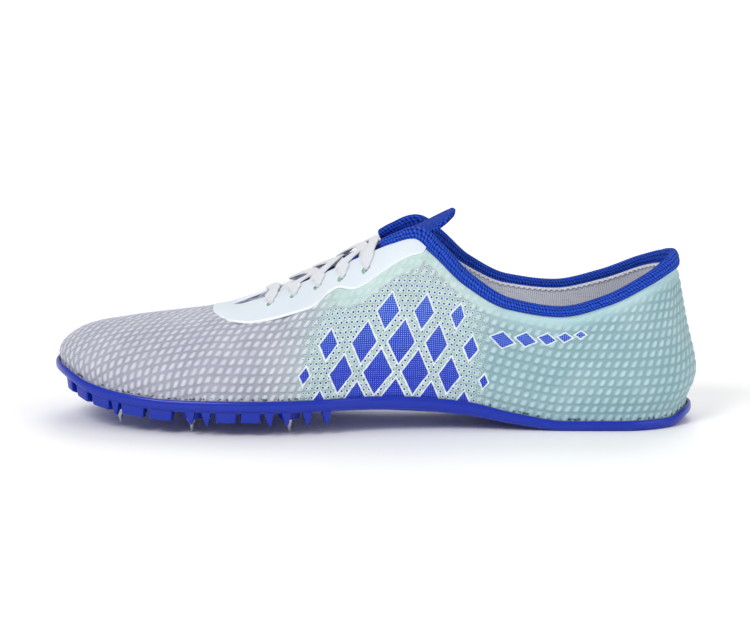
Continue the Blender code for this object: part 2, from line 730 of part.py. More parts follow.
def make_tongue(finish):
    """Curved sheet under the throat, with a free flap above the corner of the collar."""
    stations = np.linspace(0.698, CORNER, 13)
    share = np.linspace(-1, 1, 11)
    rows = []
    for station in stations:
        _, _, half_gap = instep_line(station)
        tuck = min(1.0, (station - CORNER) / TONGUE_TUCK)
        half_width = half_gap - TONGUE_INSET * (1 - tuck) + TONGUE_LAP * tuck
        rows.append(np.array([instep(station, s * half_width) for s in share]))
    rows = np.array(rows)
    lead = rows[-1].mean(axis=0) - rows[-3].mean(axis=0)
    lead /= np.linalg.norm(lead)
    flaps = []
    for t in (0.25, 0.5, 0.75, 0.92, 1.0):
        narrow = math.sqrt(max(0.0, 1 - (0.86 * t) ** 3))
        middle = rows[-1][len(share) // 2]
        flaps.append(middle + (rows[-1] - middle) * narrow + lead * TONGUE_FLAP * t)
    grid = np.concatenate((rows, np.array(flaps)))
    normal = grid_normals(grid, closed=False)
    normal *= np.sign(normal[6, 5, 2])
    outer = grid - normal * (UPPER_WALL + 2 * CLEAR)
    inner = grid - normal * (UPPER_WALL + 2 * CLEAR + TONGUE_THICKNESS)
    count = grid.shape[1]
    faces = half_faces(grid.shape[0], count, lambda i, j: i * count + j)
    points, faces = thicken(outer.reshape(-1, 3), inner.reshape(-1, 3), faces)
    return add_object("tongue", mesh_of("tongue", points, faces), finish, math.radians(60))


def film_stations():
    inner = STATIONS[(STATIONS > FILM.key[0] + 0.004) & (STATIONS < FILM.key[-1] - 0.004)]
    return np.concatenate(([FILM.key[0]], inner, [FILM.key[-1]]))


def make_eyestay(finish):
    """Thin film on the upper round the throat, both sides joined ahead of the throat."""
    stations = film_stations()
    shares = np.linspace(0, 1, 6)
    grid = np.zeros((2, len(stations), len(shares), 3))
    for s, side in enumerate(SIDES):
        for i, station in enumerate(stations):
            _, _, half_gap = instep_line(station)
            width = float(FILM.read("width", station)) * FILM_WIDTH
            for j, share in enumerate(shares):
                grid[s, i, j] = instep(station, side * (half_gap + 0.4 * MM + share * width))
    ridge = stations >= THROAT_END - 1e-9
    for i in np.flatnonzero(ridge):
        grid[:, i, 0] = instep(stations[i], 0.0)
    normal = np.stack([grid_normals(grid[s], closed=False) for s in range(2)])
    normal *= np.sign(normal[..., 2:3])
    for i in np.flatnonzero(ridge):
        both = normal[0, i, 0] + normal[1, i, 0]
        normal[:, i, 0] = both / np.linalg.norm(both)
    low = grid + normal * FILM_GAP
    high = grid + normal * (FILM_GAP + FILM_THICKNESS)
    number = np.arange(grid[..., 0].size).reshape(grid.shape[:3])
    for i in np.flatnonzero(ridge):
        number[1, i, 0] = number[0, i, 0]
    size = (len(stations), len(shares))
    faces = half_faces(*size, lambda i, j: int(number[0, i, j]))
    faces += [face[::-1] for face in half_faces(*size, lambda i, j: int(number[1, i, j]))]
    kept = sorted({v for face in faces for v in face})
    renumber = {v: k for k, v in enumerate(kept)}
    faces = [[renumber[v] for v in face] for face in faces]
    points, faces = thicken(high.reshape(-1, 3)[kept], low.reshape(-1, 3)[kept], faces)
    return add_object("eyestay", mesh_of("eyestay", points, faces), finish)


def lace_stations():
    return [throat_station(LACE_FIRST + row * LACE_PITCH) for row in range(LACE_ROWS)]


def eyelet_across(station, side):
    return side * (instep_line(station)[2] + EYELET_INSET)


def eyelet_cutters():
    """Slots through film and upper, longer along the throat than across it."""
    cutters = []
    for station in lace_stations():
        for side in SIDES:
            point, normal, forward = instep_frame(station, eyelet_across(station, side))
            sideways = np.cross(normal, forward)
            deep = UPPER_WALL + TONGUE_THICKNESS / 2
            high = FILM_THICKNESS + 2 * MM
            long_way, wide_way = forward * EYELET_LENGTH / 2, sideways * EYELET_WIDTH / 2
            corners = np.array([long_way * a + wide_way * b
                                for a, b in ((1, 1), (-1, 1), (-1, -1), (1, -1))])
            ends = [point + normal * level + corners for level in (high, -deep)]
            cutters.append(prism_between(*ends))
    return make_tool("eyelet_forms", joined("eyelet_forms", cutters))


def ribbon(start, end):
    """Flat lace between two places of the instep, each a station and a distance across."""
    lift = FILM_GAP + FILM_THICKNESS + CLEAR
    steps = np.linspace(0, 1, 11)
    frames = [instep_frame(*(a + (b - a) * t for a, b in zip(start, end))) for t in steps]
    centre = np.array([point + normal * lift for point, normal, _ in frames])
    normals = np.array([normal for _, normal, _ in frames])
    run = np.gradient(centre, axis=0)
    half_width = np.cross(normals, run)
    half_width *= LACE_WIDTH / 2 / np.linalg.norm(half_width, axis=1, keepdims=True)
    thick = normals * LACE_THICKNESS
    points = np.stack((centre - half_width, centre + half_width, centre + half_width * 0.9 + thick,
                       centre - half_width * 0.9 + thick), axis=1).reshape(-1, 3)
    last = (len(steps) - 1) * 4
    faces = [[0, 1, 2, 3], [last + 3, last + 2, last + 1, last]]
    for i in range(len(steps) - 1):
        for j in range(4):
            k = (j + 1) % 4
            faces.append([i * 4 + j, (i + 1) * 4 + j, (i + 1) * 4 + k, i * 4 + k])
    return points, faces


def make_laces(finish):
    """Bars across the lowest and the highest slots, and the crossings between the rows.

    A crossing's strands come over the film from the slots of the lower row and stop
    at the opposite throat edge, short of the row above, where the lace goes under.
    The lowest crossing lies between the throat edges only.
    """
    stop = EYELET_WIDTH / 2 + 2 * CLEAR
    spread = (LACE_WIDTH + 3 * CLEAR) / LACE_PITCH

    def at_slot(row, side):
        station = throat_station(LACE_FIRST + row * LACE_PITCH)
        return station, eyelet_across(station, side) - side * stop

    def at_edge(row, side):
        station = throat_station(LACE_FIRST + row * LACE_PITCH)
        return station, side * (instep_line(station)[2] - LACE_WIDTH * 0.3)

    last = LACE_ROWS - 1
    for name, row in (("lace_bar_top", 0), ("lace_bar_bottom", last)):
        add_object(name, mesh_of(name, *ribbon(at_slot(row, 1), at_slot(row, -1))), finish)
    short = spread
    for row in range(1, LACE_ROWS):
        name = f"lace_cross_{row}"
        strands = []
        for side in SIDES:
            start = at_edge(row - spread, side) if row == last else at_slot(row, side)
            strands.append(ribbon(start, at_edge(row - 1 + short, -side)))
        slot, gap = at_slot(row, 1)[1], at_edge(row, 1)[1]
        short = spread - (1 - short) * (slot - gap) / (slot + gap)
        crossing = add_object(name, mesh_of(name, *strands[0]), finish)
        combine(crossing, make_tool(f"{name}_form", mesh_of(f"{name}_form", *strands[1])), "UNION")


def centre_on_floor():
    """Move everything so that the bounding box stands centred on the origin."""
    bpy.context.view_layer.update()
    graph = bpy.context.evaluated_depsgraph_get()
    solids = [thing for thing in bpy.context.scene.objects if thing.type == "MESH" and not thing.hide_render]
    corners = []
    for thing in solids:
        shape = thing.evaluated_get(graph)
        corners += [shape.matrix_world @ v.co for v in shape.data.vertices]
    low = Vector([min(c[i] for c in corners) for i in range(3)])
    high = Vector([max(c[i] for c in corners) for i in range(3)])
    shift = Matrix.Translation((-(low.x + high.x) / 2, -(low.y + high.y) / 2, -low.z))
    for thing in bpy.context.scene.objects:
        thing.data.transform(shift)


def main():
    for thing in list(bpy.data.objects):
        bpy.data.objects.remove(thing)
    moulded = material("moulded_blue", (0.006, 0.035, 0.42), 0.32)
    knit = material("upper_knit", (0.50, 0.68, 0.68), 0.85)
    blue_knit = material("blue_knit", (0.01, 0.05, 0.42), 0.9)
    film = material("white_film", (0.68, 0.76, 0.80), 0.4)
    lace = material("lace_weave", (0.72, 0.74, 0.78), 0.85)
    liner = material("sock_liner", (0.01, 0.015, 0.06), 0.9)
    steel = material("pin_steel", (0.55, 0.55, 0.55), 0.3, 1.0)

    make_outsole(moulded)
    make_spikes(steel)
    make_insole(liner)
    shell = make_upper(knit)
    stay = make_eyestay(film)
    slots = eyelet_cutters()
    combine(shell, slots, "DIFFERENCE")
    combine(stay, slots, "DIFFERENCE")
    make_collar(blue_knit)
    make_tongue(blue_knit)
    make_laces(lace)
    centre_on_floor()


main()
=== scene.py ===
"""Looks of a track spike shoe for the left foot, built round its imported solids.

+X runs from heel to toe, +Y to the outer side, +Z up, all in metres. The shapes are worked
out from the back of the heel, as in the part's source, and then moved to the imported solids.
"""

import bmesh
import bpy
import numpy as np
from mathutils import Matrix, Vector


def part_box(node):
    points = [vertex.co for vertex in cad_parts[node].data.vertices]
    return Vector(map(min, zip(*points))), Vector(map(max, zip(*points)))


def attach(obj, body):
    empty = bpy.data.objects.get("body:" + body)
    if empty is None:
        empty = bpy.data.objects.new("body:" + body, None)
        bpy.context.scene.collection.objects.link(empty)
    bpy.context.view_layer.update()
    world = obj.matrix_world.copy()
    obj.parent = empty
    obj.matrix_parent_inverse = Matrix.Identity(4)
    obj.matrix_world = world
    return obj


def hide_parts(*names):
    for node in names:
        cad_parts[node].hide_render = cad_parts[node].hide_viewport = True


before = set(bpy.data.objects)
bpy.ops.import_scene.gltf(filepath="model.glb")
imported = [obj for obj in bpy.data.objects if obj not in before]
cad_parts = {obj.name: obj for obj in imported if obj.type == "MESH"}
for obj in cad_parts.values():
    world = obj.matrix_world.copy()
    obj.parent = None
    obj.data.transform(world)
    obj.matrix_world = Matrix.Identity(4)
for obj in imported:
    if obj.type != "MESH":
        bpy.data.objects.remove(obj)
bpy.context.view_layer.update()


# Outsole
# One plate moulded in glossy royal blue plastic, with a raised lip that holds the upper, a
# rounded side wall, lugs and teeth round the forefoot, bosses for the pins, and two long
# satin panels between thick ribs under the waist.
MM = 0.001
LENGTH = 275 * MM
HALF_BALL = 46 * MM
STAND = 10.4 * MM
LIP_WIDTH = 1.8 * MM
LIP_DEPTH = 2.6 * MM
SOLE_WALL = 5.0 * MM
WALL_STEP = 1.0 * MM
CLEAR = 0.3 * MM


def clamp(value):
    return np.clip(value, 0, 1)


def monotone_cubic(key, value, at):
    """Cubic through the points whose slopes are harmonic means of the neighbouring slopes,
    and zero where the values turn, so that it never swings past them."""
    width = np.diff(key)
    slope = np.diff(value) / width
    before, after = slope[:-1], slope[1:]
    same = before * after > 0
    weight_a, weight_b = 2 * width[1:] + width[:-1], width[1:] + 2 * width[:-1]
    safe_a, safe_b = np.where(same, before, 1.0), np.where(same, after, 1.0)
    inner = np.where(same, (weight_a + weight_b) / (weight_a / safe_a + weight_b / safe_b), 0.0)
    tangent = np.concatenate(([slope[0]], inner, [slope[-1]]))
    cell = np.clip(np.searchsorted(key, at, side="right") - 1, 0, len(width) - 1)
    t = (at - key[cell]) / width[cell]
    return ((1 + 2 * t) * (1 - t) ** 2 * value[cell] + t * (1 - t) ** 2 * tangent[cell] * width[cell]
            + t * t * (3 - 2 * t) * value[cell + 1] + t * t * (t - 1) * tangent[cell + 1] * width[cell])


class Table:
    """Rows with named columns, read by a smooth cubic. Columns are mirrored about both ends
    of the first one, and an odd column changes its sign there."""

    def __init__(self, names, rows, odd=()):
        values = np.array(rows, dtype=float)
        self.key = values[:, 0]
        self.columns = {name: values[:, i] for i, name in enumerate(names.split()) if i}
        self.odd = odd

    def read(self, name, at):
        column = self.columns[name]
        sign = -1 if name in self.odd else 1
        before, after = 2 * self.key[0] - self.key[:0:-1], 2 * self.key[-1] - self.key[-2::-1]
        key = np.concatenate((before, self.key, after))
        value = np.concatenate((sign * column[:0:-1], column, sign * column[-2::-1]))
        return monotone_cubic(key, value, np.asarray(at, dtype=float))


OUTLINE = Table("along centre half", [
    (0.00, 0.00, 0.65), (0.12, 0.00, 0.67), (0.25, 0.03, 0.63), (0.38, 0.09, 0.57),
    (0.48, 0.12, 0.61), (0.58, 0.10, 0.79), (0.67, 0.04, 0.94), (0.74, -0.02, 0.98),
    (0.84, -0.10, 0.97), (0.92, -0.14, 0.96), (1.00, -0.17, 0.96)])
SOLE = Table("along under wall", [
    (0.00, 0.32, 0.92), (0.04, 0.00, 0.88), (0.20, 0.00, 0.86), (0.28, 0.26, 1.00),
    (0.36, 0.66, 1.20), (0.46, 0.92, 1.20), (0.58, 1.00, 1.04), (0.81, 1.00, 1.00),
    (0.88, 1.14, 0.98), (0.94, 1.44, 0.94), (1.00, 2.02, 0.90)])
RIBS = Table("along outer_edge outer_middle inner_middle inner_edge", [
    (0.275, 0.165, 0.095, 0.025, -0.045), (0.330, 0.350, 0.140, 0.005, -0.160),
    (0.400, 0.460, 0.165, 0.000, -0.230), (0.470, 0.520, 0.170, -0.010, -0.270),
    (0.530, 0.520, 0.155, -0.030, -0.300), (0.590, 0.330, 0.110, -0.060, -0.230)])


def along_of(station):
    """Share of the length: half of one minus the cosine of half a turn times the station."""
    return (1 - np.cos(np.pi * np.asarray(station))) / 2


def outline(station, side):
    """Sole's edge: centre line plus or minus a half width, which a circle closes at the
    heel and a superellipse at the toe."""
    along = along_of(station)
    heel = clamp((0.115 - along) / 0.115)
    toe = clamp((along - 0.75) / 0.25)
    cap = np.sqrt(1 - heel ** 2) * (1 - toe ** 2.2) ** (1 / 2.2)
    y = OUTLINE.read("centre", along) + side * OUTLINE.read("half", along) * cap
    return np.stack((along * LENGTH, y * HALF_BALL), axis=-1)


def edge(station, side, inset):
    """Sole's edge moved inwards by inset along the normal of its own curve, which runs on
    round the heel and the toe to the other side."""
    station, side, inset = np.broadcast_arrays(station, side, inset)
    ends = []
    for near in (station + 1e-4, station - 1e-4):
        over = np.where(near > 1, 2 - near, np.abs(near))
        ends.append(outline(over, np.where((near > 1) | (near < 0), -side, side)))
    tangent = ends[0] - ends[1]
    tangent /= np.linalg.norm(tangent, axis=-1, keepdims=True)
    outward = np.stack((-tangent[..., 1], tangent[..., 0]), axis=-1) * side[..., None]
    return outline(station, side) - outward * inset[..., None]


def underside(x):
    return SOLE.read("under", clamp(x / LENGTH)) * STAND


def sole_top(x):
    return underside(x) + SOLE.read("wall", clamp(x / LENGTH)) * SOLE_WALL


def floor_height(x):
    return sole_top(x) - LIP_DEPTH


def with_height(flat, height):
    """Points from their places on the ground and their heights."""
    return np.concatenate((flat, height[..., None]), axis=-1)


def joined(*values):
    """Points or pairs from arrays of their parts, whose shapes may differ."""
    return np.stack(np.broadcast_arrays(*values), axis=-1)


low_corner = np.array(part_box("outsole")[0])
PLACE = np.array([low_corner[0], low_corner[1] - outline(np.linspace(0, 1, 4001), -1.0)[:, 1].min(), 0.0])


def grid_faces(rows, columns, first=0, wrap=False):
    """Corner numbers of the faces of a grid whose points are numbered row after row."""
    number = np.arange(rows * columns).reshape(rows, columns) + first
    if wrap:
        number = np.concatenate((number, number[:, :1]), axis=1)
    corners = (number[:-1, :-1], number[1:, :-1], number[1:, 1:], number[:-1, 1:])
    return np.stack(corners, axis=-1).reshape(-1, 4)


def strip(near, far):
    """Corner numbers of the faces between two lines of point numbers."""
    return np.stack((near[:-1], near[1:], far[1:], far[:-1]), axis=-1)


def loops(sections):
    """Points and faces of a row of closed loops of points."""
    return sections.reshape(-1, 3), grid_faces(*sections.shape[:2], wrap=True)


def double_sheet(front, behind, *rims):
    """Points and faces of a front and a back grid. A rim is an index that picks a line of
    points on both grids, and faces join them there."""
    numbers, first = [], 0
    for grid in (front, behind):
        count = grid[..., 0].size
        numbers.append(np.arange(count).reshape(grid.shape[:2]) + first)
        first += count
    faces = [grid_faces(*number.shape, number[0, 0]) for number in numbers]
    faces += [strip(*(number[rim] for number in numbers)) for rim in rims]
    return np.concatenate((front.reshape(-1, 3), behind.reshape(-1, 3))), np.concatenate(faces)


def straight(start, end, count):
    """Points on straight lines from start to end."""
    t = np.linspace(0, 1, count)[None, :, None]
    return start * (1 - t) + end * t


def length_of(vectors):
    return np.linalg.norm(vectors, axis=-1, keepdims=True)


def direction(vectors):
    return vectors / np.maximum(length_of(vectors), 1e-12)


def run_along(points):
    """Distance along a line of points, from its first point to each one."""
    steps = length_of(np.diff(points, axis=-2))[..., 0]
    return np.concatenate((np.zeros((*steps.shape[:-1], 1)), np.cumsum(steps, axis=-1)), axis=-1)


def squared_circle(count, power):
    """Cosine and sine round a circle, raised to a power with their signs kept."""
    angle = np.arange(count) / count * 2 * np.pi
    return [np.sign(part) * np.abs(part) ** power for part in (np.cos(angle), np.sin(angle))]


def round_rise(share):
    """Height of a quarter circle, from 0 at a share of 0 to 1 at a share of 1 and above."""
    return np.sqrt(clamp(1 - (1 - clamp(share)) ** 2))


def closed_tube(rings):
    """Rings of points with a ring drawn together to its middle added at both ends."""
    first, last = (np.broadcast_to(ring.mean(axis=0), ring.shape)[None] for ring in (rings[0], rings[-1]))
    return np.concatenate((first, rings, last))


def show(name, data):
    thing = bpy.data.objects.new(name, data)
    bpy.context.scene.collection.objects.link(thing)
    return thing


def add_piece(name, parts, finish, uv=None, marks=None, sharp=None):
    """Object from a list of (points, faces). Points that fall together are merged, a face
    that loses a corner becomes a triangle, and the faces are turned to point outwards.
    uv has two values for each point, and marks holds named triples for each point."""
    sizes = np.cumsum([0] + [len(points) for points, _ in parts])
    points = np.concatenate([points for points, _ in parts])
    faces = np.concatenate([faces + start for (_, faces), start in zip(parts, sizes)])
    cells = np.round(points * 1e7).astype(np.int64)
    _, first, back = np.unique(cells, axis=0, return_index=True, return_inverse=True)
    merged = back.reshape(-1)[faces]
    kept = merged != np.roll(merged, 1, axis=1)
    whole = kept.sum(axis=1) > 2
    corners = [face[keep].tolist() for face, keep in zip(merged[whole], kept[whole])]
    mesh = bpy.data.meshes.new(name)
    mesh.from_pydata((points[first] + PLACE).tolist(), [], corners)
    if uv is not None:
        layer = mesh.uv_layers.new(name="weave")
        layer.uv.foreach_set("vector", uv[faces][whole][kept[whole]].astype(np.float32).ravel())
    for mark, values in (marks or {}).items():
        layer = mesh.attributes.new(mark, "FLOAT_VECTOR", "POINT")
        layer.data.foreach_set("vector", values[first].astype(np.float32).ravel())
    shape = bmesh.new()
    shape.from_mesh(mesh)
    bmesh.ops.recalc_face_normals(shape, faces=shape.faces)
    shape.to_mesh(mesh)
    shape.free()
    mesh.shade_smooth()
    if sharp:
        mesh.set_sharp_from_angle(angle=np.radians(sharp))
    mesh.materials.append(finish)
    return show(name, mesh)


def settle(piece, slot, *nodes):
    """The piece rides on the shoe and stands for CAD nodes, which are hidden. The slot is not used."""
    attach(piece, "root")
    if nodes:
        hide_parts(*nodes)
    return piece


def math_node(operation, swapped=False):
    """Method that adds a Math node for a signal and the values that it is called with."""
    def method(self, *others):
        values = (*others, self) if swapped else (self, *others)
        return self.node("Math", {"operation": operation}, dict(enumerate(values)))
    return method


class Signal:
    """An output of a material's nodes. An operator between signals and numbers adds a Math
    node, and node() adds any other one."""

    __add__ = __radd__ = math_node("ADD")
    __sub__ = math_node("SUBTRACT")
    __rsub__ = math_node("SUBTRACT", swapped=True)
    __mul__ = __rmul__ = math_node("MULTIPLY")
    __truediv__ = math_node("DIVIDE")
    __mod__ = math_node("FLOORED_MODULO")
    __pow__ = math_node("POWER")
    __abs__ = math_node("ABSOLUTE")
    sine = math_node("SINE")
    least = math_node("MINIMUM")
    most = math_node("MAXIMUM")

    def __init__(self, tree, socket=None):
        self.tree = tree
        self.socket = socket

    def node(self, kind, settings=None, inputs=None, output=0):
        made = self.tree.nodes.new("ShaderNode" + kind)
        for name, value in (settings or {}).items():
            setattr(made, name, value)
        for name, value in (inputs or {}).items():
            if isinstance(value, Signal):
                self.tree.links.new(value.socket, made.inputs[name])
            else:
                made.inputs[name].default_value = value
        return Signal(self.tree, made.outputs[output])

    def ripple(self, pitch):
        """Sine wave from -1 to 1 with a pitch."""
        return (self * (2 * np.pi / pitch)).sine()

    def ramp(self, low, high):
        """0 at low, 1 at high and a smooth step between them."""
        return self.node("MapRange", {"interpolation_type": "SMOOTHSTEP"},
                         {"Value": self, "From Min": low, "From Max": high})


def tint(red, green, blue):
    """Linear colour of an sRGB one with parts from 0 to 255."""
    parts = np.array([red, green, blue]) / 255
    parts = np.where(parts <= 0.04045, parts / 12.92, ((parts + 0.055) / 1.055) ** 2.4)
    return (*parts.tolist(), 1.0)


class Finish:
    """A material with one Principled shader, from an sRGB colour and constants that are set
    on the shader's sockets."""

    def __init__(self, name, colour, **constants):
        self.material = bpy.data.materials.new(name)
        self.material.use_nodes = True
        self.tree = self.material.node_tree
        self.shader = self.tree.nodes["Principled BSDF"]
        self.start = Signal(self.tree)
        self.shader.inputs["Base Color"].default_value = tint(*colour)
        for key, value in constants.items():
            self.shader.inputs[key.replace("_", " ")].default_value = value

    def feed(self, **signals):
        for key, value in signals.items():
            self.tree.links.new(value.socket, self.shader.inputs[key.replace("_", " ")])

    def axes(self, place):
        return [self.start.node("SeparateXYZ", inputs={0: place}, output=i) for i in range(3)]

    def uv(self):
        """Both values of the piece's own map, in millimetres."""
        return self.axes(self.start.node("UVMap", {"uv_map": "weave"}))[:2]

    def mark(self, name):
        return self.axes(self.start.node("Attribute", {"attribute_name": name}, output=1))

    def position(self):
        return self.start.node("TexCoord", output=3)

    def noise(self, scale, detail=2.0, vector=None):
        inputs = {"Scale": scale, "Detail": detail, "Vector": vector or self.position()}
        return self.start.node("TexNoise", inputs=inputs)

    def mix(self, share, *colours):
        """From the first colour to the second by a share. A colour is a signal or an sRGB
        triple."""
        first, second = (each if isinstance(each, Signal) else tint(*each) for each in colours)
        return self.start.node("Mix", {"data_type": "RGBA"}, {0: share, 6: first, 7: second}, output=2)

    def bump(self, height, depth, strength=1.0):
        """Normal of a height of 0 to 1 that stands for depth in metres."""
        inputs = {"Height": height, "Distance": depth, "Strength": strength}
        self.feed(Normal=self.start.node("Bump", inputs=inputs))


PINS = [(0.913, 1), (0.789, 1), (0.622, 1), (0.925, -1), (0.806, -1), (0.650, -1), (0.958, 0)]


def station_at(along):
    return np.arccos(1 - 2 * along) / np.pi


def pin_place(along, side):
    """Middle of a pin: 11 mm in from the plate's edge, or on the centre line at the toe."""
    if side:
        x, y = edge(station_at(along), side, 11 * MM)
    else:
        x, y = along * LENGTH, OUTLINE.read("centre", along) * HALF_BALL
    return float(x), float(y), float(underside(x))


def plate_relief(x, y):
    """Height of the four rounded midfoot ribs, how far the panels between them are sunk,
    and the panels' mark, from 0 to 1. A rib is a bell over its own line, and a panel is a
    lens with pointed ends and a fine rim. Lower ribs run from pin to pin."""
    rib_width, rib_height, web_height, panel_depth = 1.7 * MM, 1.7 * MM, 0.7 * MM, 0.5 * MM
    along = x / LENGTH
    span = clamp((along - RIBS.key[0]) / (RIBS.key[-1] - RIBS.key[0]))
    fade = np.sin(span * np.pi) ** 0.7
    lines = [RIBS.read(name, np.clip(along, RIBS.key[0], RIBS.key[-1])) * HALF_BALL for name in RIBS.columns]
    ridge = sum(np.exp(-((y - line) / rib_width) ** 2) for line in lines)
    panel = np.zeros_like(x)
    lens = clamp(1 - ((along - 0.45) / 0.15) ** 2) ** 0.6
    for a, b in ((0, 1), (2, 3)):
        middle, half = (lines[a] + lines[b]) / 2, (lines[a] - lines[b]) / 2 - 2.0 * MM
        inside = half * lens - np.abs(y - middle)
        panel = np.maximum(panel, clamp((inside - 0.3 * MM) / (0.8 * MM)))
        ridge = ridge + 0.5 * np.exp(-((inside + 0.4 * MM) / (0.7 * MM)) ** 2) * (lens > 0.02)
    web = np.zeros_like(x)
    for first, last in ((2, 1), (1, 0), (0, 6), (6, 3), (3, 4), (4, 5), (5, 2)):
        a, b = (np.array(pin_place(*PINS[pin])[:2]) for pin in (first, last))
        run = clamp(((x - a[0]) * (b - a)[0] + (y - a[1]) * (b - a)[1]) / np.sum((b - a) ** 2))
        away = np.hypot(x - a[0] - run * (b - a)[0], y - a[1] - run * (b - a)[1])
        web = np.maximum(web, np.exp(-(away / rib_width) ** 2))
    return clamp(ridge) * fade * rib_height + web * web_height, panel * panel_depth, panel


def make_plate(stations=300, profile=30, across=130):
    """Sections of the plate, one for each station, as loops: down one side wall, across the
    underside, up the other wall and back over the floor inside the lip."""
    wall = Table("step inset share drop", [
        (0.0, 1.80, 1.00, 2.60), (1.0, 1.72, 1.00, 0.90), (1.5, 1.45, 1.00, 0.15),
        (2.0, 0.95, 1.00, 0.00), (2.7, 0.30, 0.90, 0.00), (3.5, 0.03, 0.66, 0.00),
        (4.2, 0.00, 0.45, 0.00), (4.9, 0.22, 0.24, 0.00), (5.3, 0.50, 0.15, 0.00),
        (5.6, 0.95, 0.11, 0.00), (6.0, 1.40, 0.00, 0.00)])
    step = np.linspace(0, 6, profile)
    inset = wall.read("inset", step) * MM
    share, drop = wall.read("share", step), wall.read("drop", step) * MM
    station = np.linspace(0, 1, stations)[:, None]
    rows = []
    for side in (1.0, -1.0):
        xy = edge(station, side, inset[None, :])
        base, top = underside(xy[..., 0]), sole_top(xy[..., 0])
        rows.append(with_height(xy, base + share * (top - base) - drop))
    outer, inner = rows
    bottom = straight(outer[:, -1:], inner[:, -1:], across)
    x, y = bottom[..., 0], bottom[..., 1]
    ridge, sunk, panel = plate_relief(x, y)
    t = np.linspace(0, 1, across)[None, :]
    room = np.minimum(t, 1 - t) * length_of(outer[:, -1] - inner[:, -1])
    ease = clamp(room / (1.5 * MM))
    bottom[..., 2] = underside(x) + (sunk - ridge) * ease
    inside = straight(inner[:, :1], outer[:, :1], 24)
    inside[..., 2] = floor_height(inside[..., 0])
    section = np.concatenate((outer, bottom[:, 1:-1], inner[:, ::-1], inside[:, 1:-1]), axis=1)
    marks = np.zeros(section.shape)
    marks[:, profile:profile + across - 2, 0] = panel[:, 1:-1]
    return loops(section), marks.reshape(-1, 3)


def rounded_block(top, bottom, corners=36, power=9.0):
    """Block between two four-cornered outlines. Its rings are superellipses stretched over
    the outlines, and the last ones shrink to round the lower edge and close the block."""
    u, v = squared_circle(corners, 2 / power)
    rings = []
    for level, shrink in ((0, 0), (0, 1), (0.35, 1), (0.7, 1), (0.95, 1), (0.985, 0.975), (1, 0.925), (1, 0)):
        a, b = u * shrink, v * shrink
        weights = [(1 + a * i) * (1 + b * j) / 4 for i, j in ((1, 1), (-1, 1), (-1, -1), (1, -1))]
        rings.append(np.stack(weights, axis=-1) @ (top * (1 - level) + bottom * level))
    return loops(np.array(rings))


EDGE_LUGS = Table("along length tooth", [
    (0.570, 0.018, 1), (0.600, 0.018, 1), (0.632, 0.018, 1), (0.659, 0.018, 1), (0.687, 0.032, 0),
    (0.726, 0.034, 0), (0.757, 0.018, 1), (0.782, 0.018, 1), (0.829, 0.040, 0), (0.873, 0.040, 0),
    (0.901, 0.016, 1), (0.925, 0.034, 0), (0.956, 0.026, 0), (0.978, 0.016, 0)])
INNER_TEETH = [(0.860, 0.30), (0.860, -0.30), (0.800, 0.0), (0.745, 0.42), (0.745, -0.42),
               (0.715, 0.0), (0.655, 0.36), (0.655, -0.36), (0.610, 0.0)]
TOOTH_WIDTH = 4.4 * MM
TOOTH_HEIGHT = 3.44 * MM


def edge_lug(along, length, tooth, side):
    """Block that follows the plate's edge, with a raked front, or a tooth with a narrow tip."""
    length = length * LENGTH
    place = edge(station_at(along), side, WALL_STEP)
    outward = (place - edge(station_at(along), side, WALL_STEP + MM)) / MM
    forward = np.array([outward[1], -outward[0]]) * side
    height = 5.2 * MM if tooth else 4.3 * MM
    front, back = (0.06, -0.18) if tooth else (0.48, -0.42)
    depth, tip = (4.0 * MM, 1.0 * MM) if tooth else (5.0 * MM, 3.1 * MM)

    def corners(ahead, behind, near, far, level):
        flat = np.array([place + forward * share * length - outward * inset
                         for share, inset in ((ahead, near), (behind, near), (behind, far), (ahead, far))])
        return with_height(flat, underside(flat[:, 0]) + level)

    return rounded_block(corners(0.5, -0.5, 0.0, depth, 1.0 * MM),
                         corners(front, back, 0.25 * tip, tip + 0.25 * depth, -height))


def turned(centre, profile, sides):
    """Rings about a vertical axis, from a list of radius and height."""
    cos, sin = squared_circle(sides, 1.0)
    radius, height = np.array(profile).T[..., None]
    return loops(joined(centre[0] + radius * cos, centre[1] + radius * sin, height))


def make_tread():
    """Edge lugs on both sides, pointed teeth under the forefoot and a round boss for each
    pin, all sunk about 1 mm into the plate."""
    parts = []
    for side in (1.0, -1.0):
        for along, length, tooth in zip(EDGE_LUGS.key, *EDGE_LUGS.columns.values()):
            parts.append(edge_lug(along, length, tooth, side))
    for along, across in INNER_TEETH:
        x = along * LENGTH
        y = (OUTLINE.read("centre", along) + across * OUTLINE.read("half", along)) * HALF_BALL
        square = np.array([(1, 1), (-1, 1), (-1, -1), (1, -1)]) * TOOTH_WIDTH / 2 + (x, y)
        top = with_height(square, underside(square[:, 0]) + 1.0 * MM)
        tip = with_height((square - (x, y)) * 0.22 + (x, y), np.full(4, underside(x) - TOOTH_HEIGHT))
        parts.append(rounded_block(top, tip, power=3.0))
    for along, side in PINS:
        x, y, z = pin_place(along, side)
        boss = [(0, 1.2), (5.2, 1.2), (5.0, 0), (4.75, -1.4), (4.35, -3.6), (4.1, -3.9), (3.6, -4.0),
                (2.7, -4.0), (2.6, -3.7), (0, -3.7)]
        parts.append(turned((x, y), [(radius * MM, z + height * MM) for radius, height in boss], 40))
    return parts


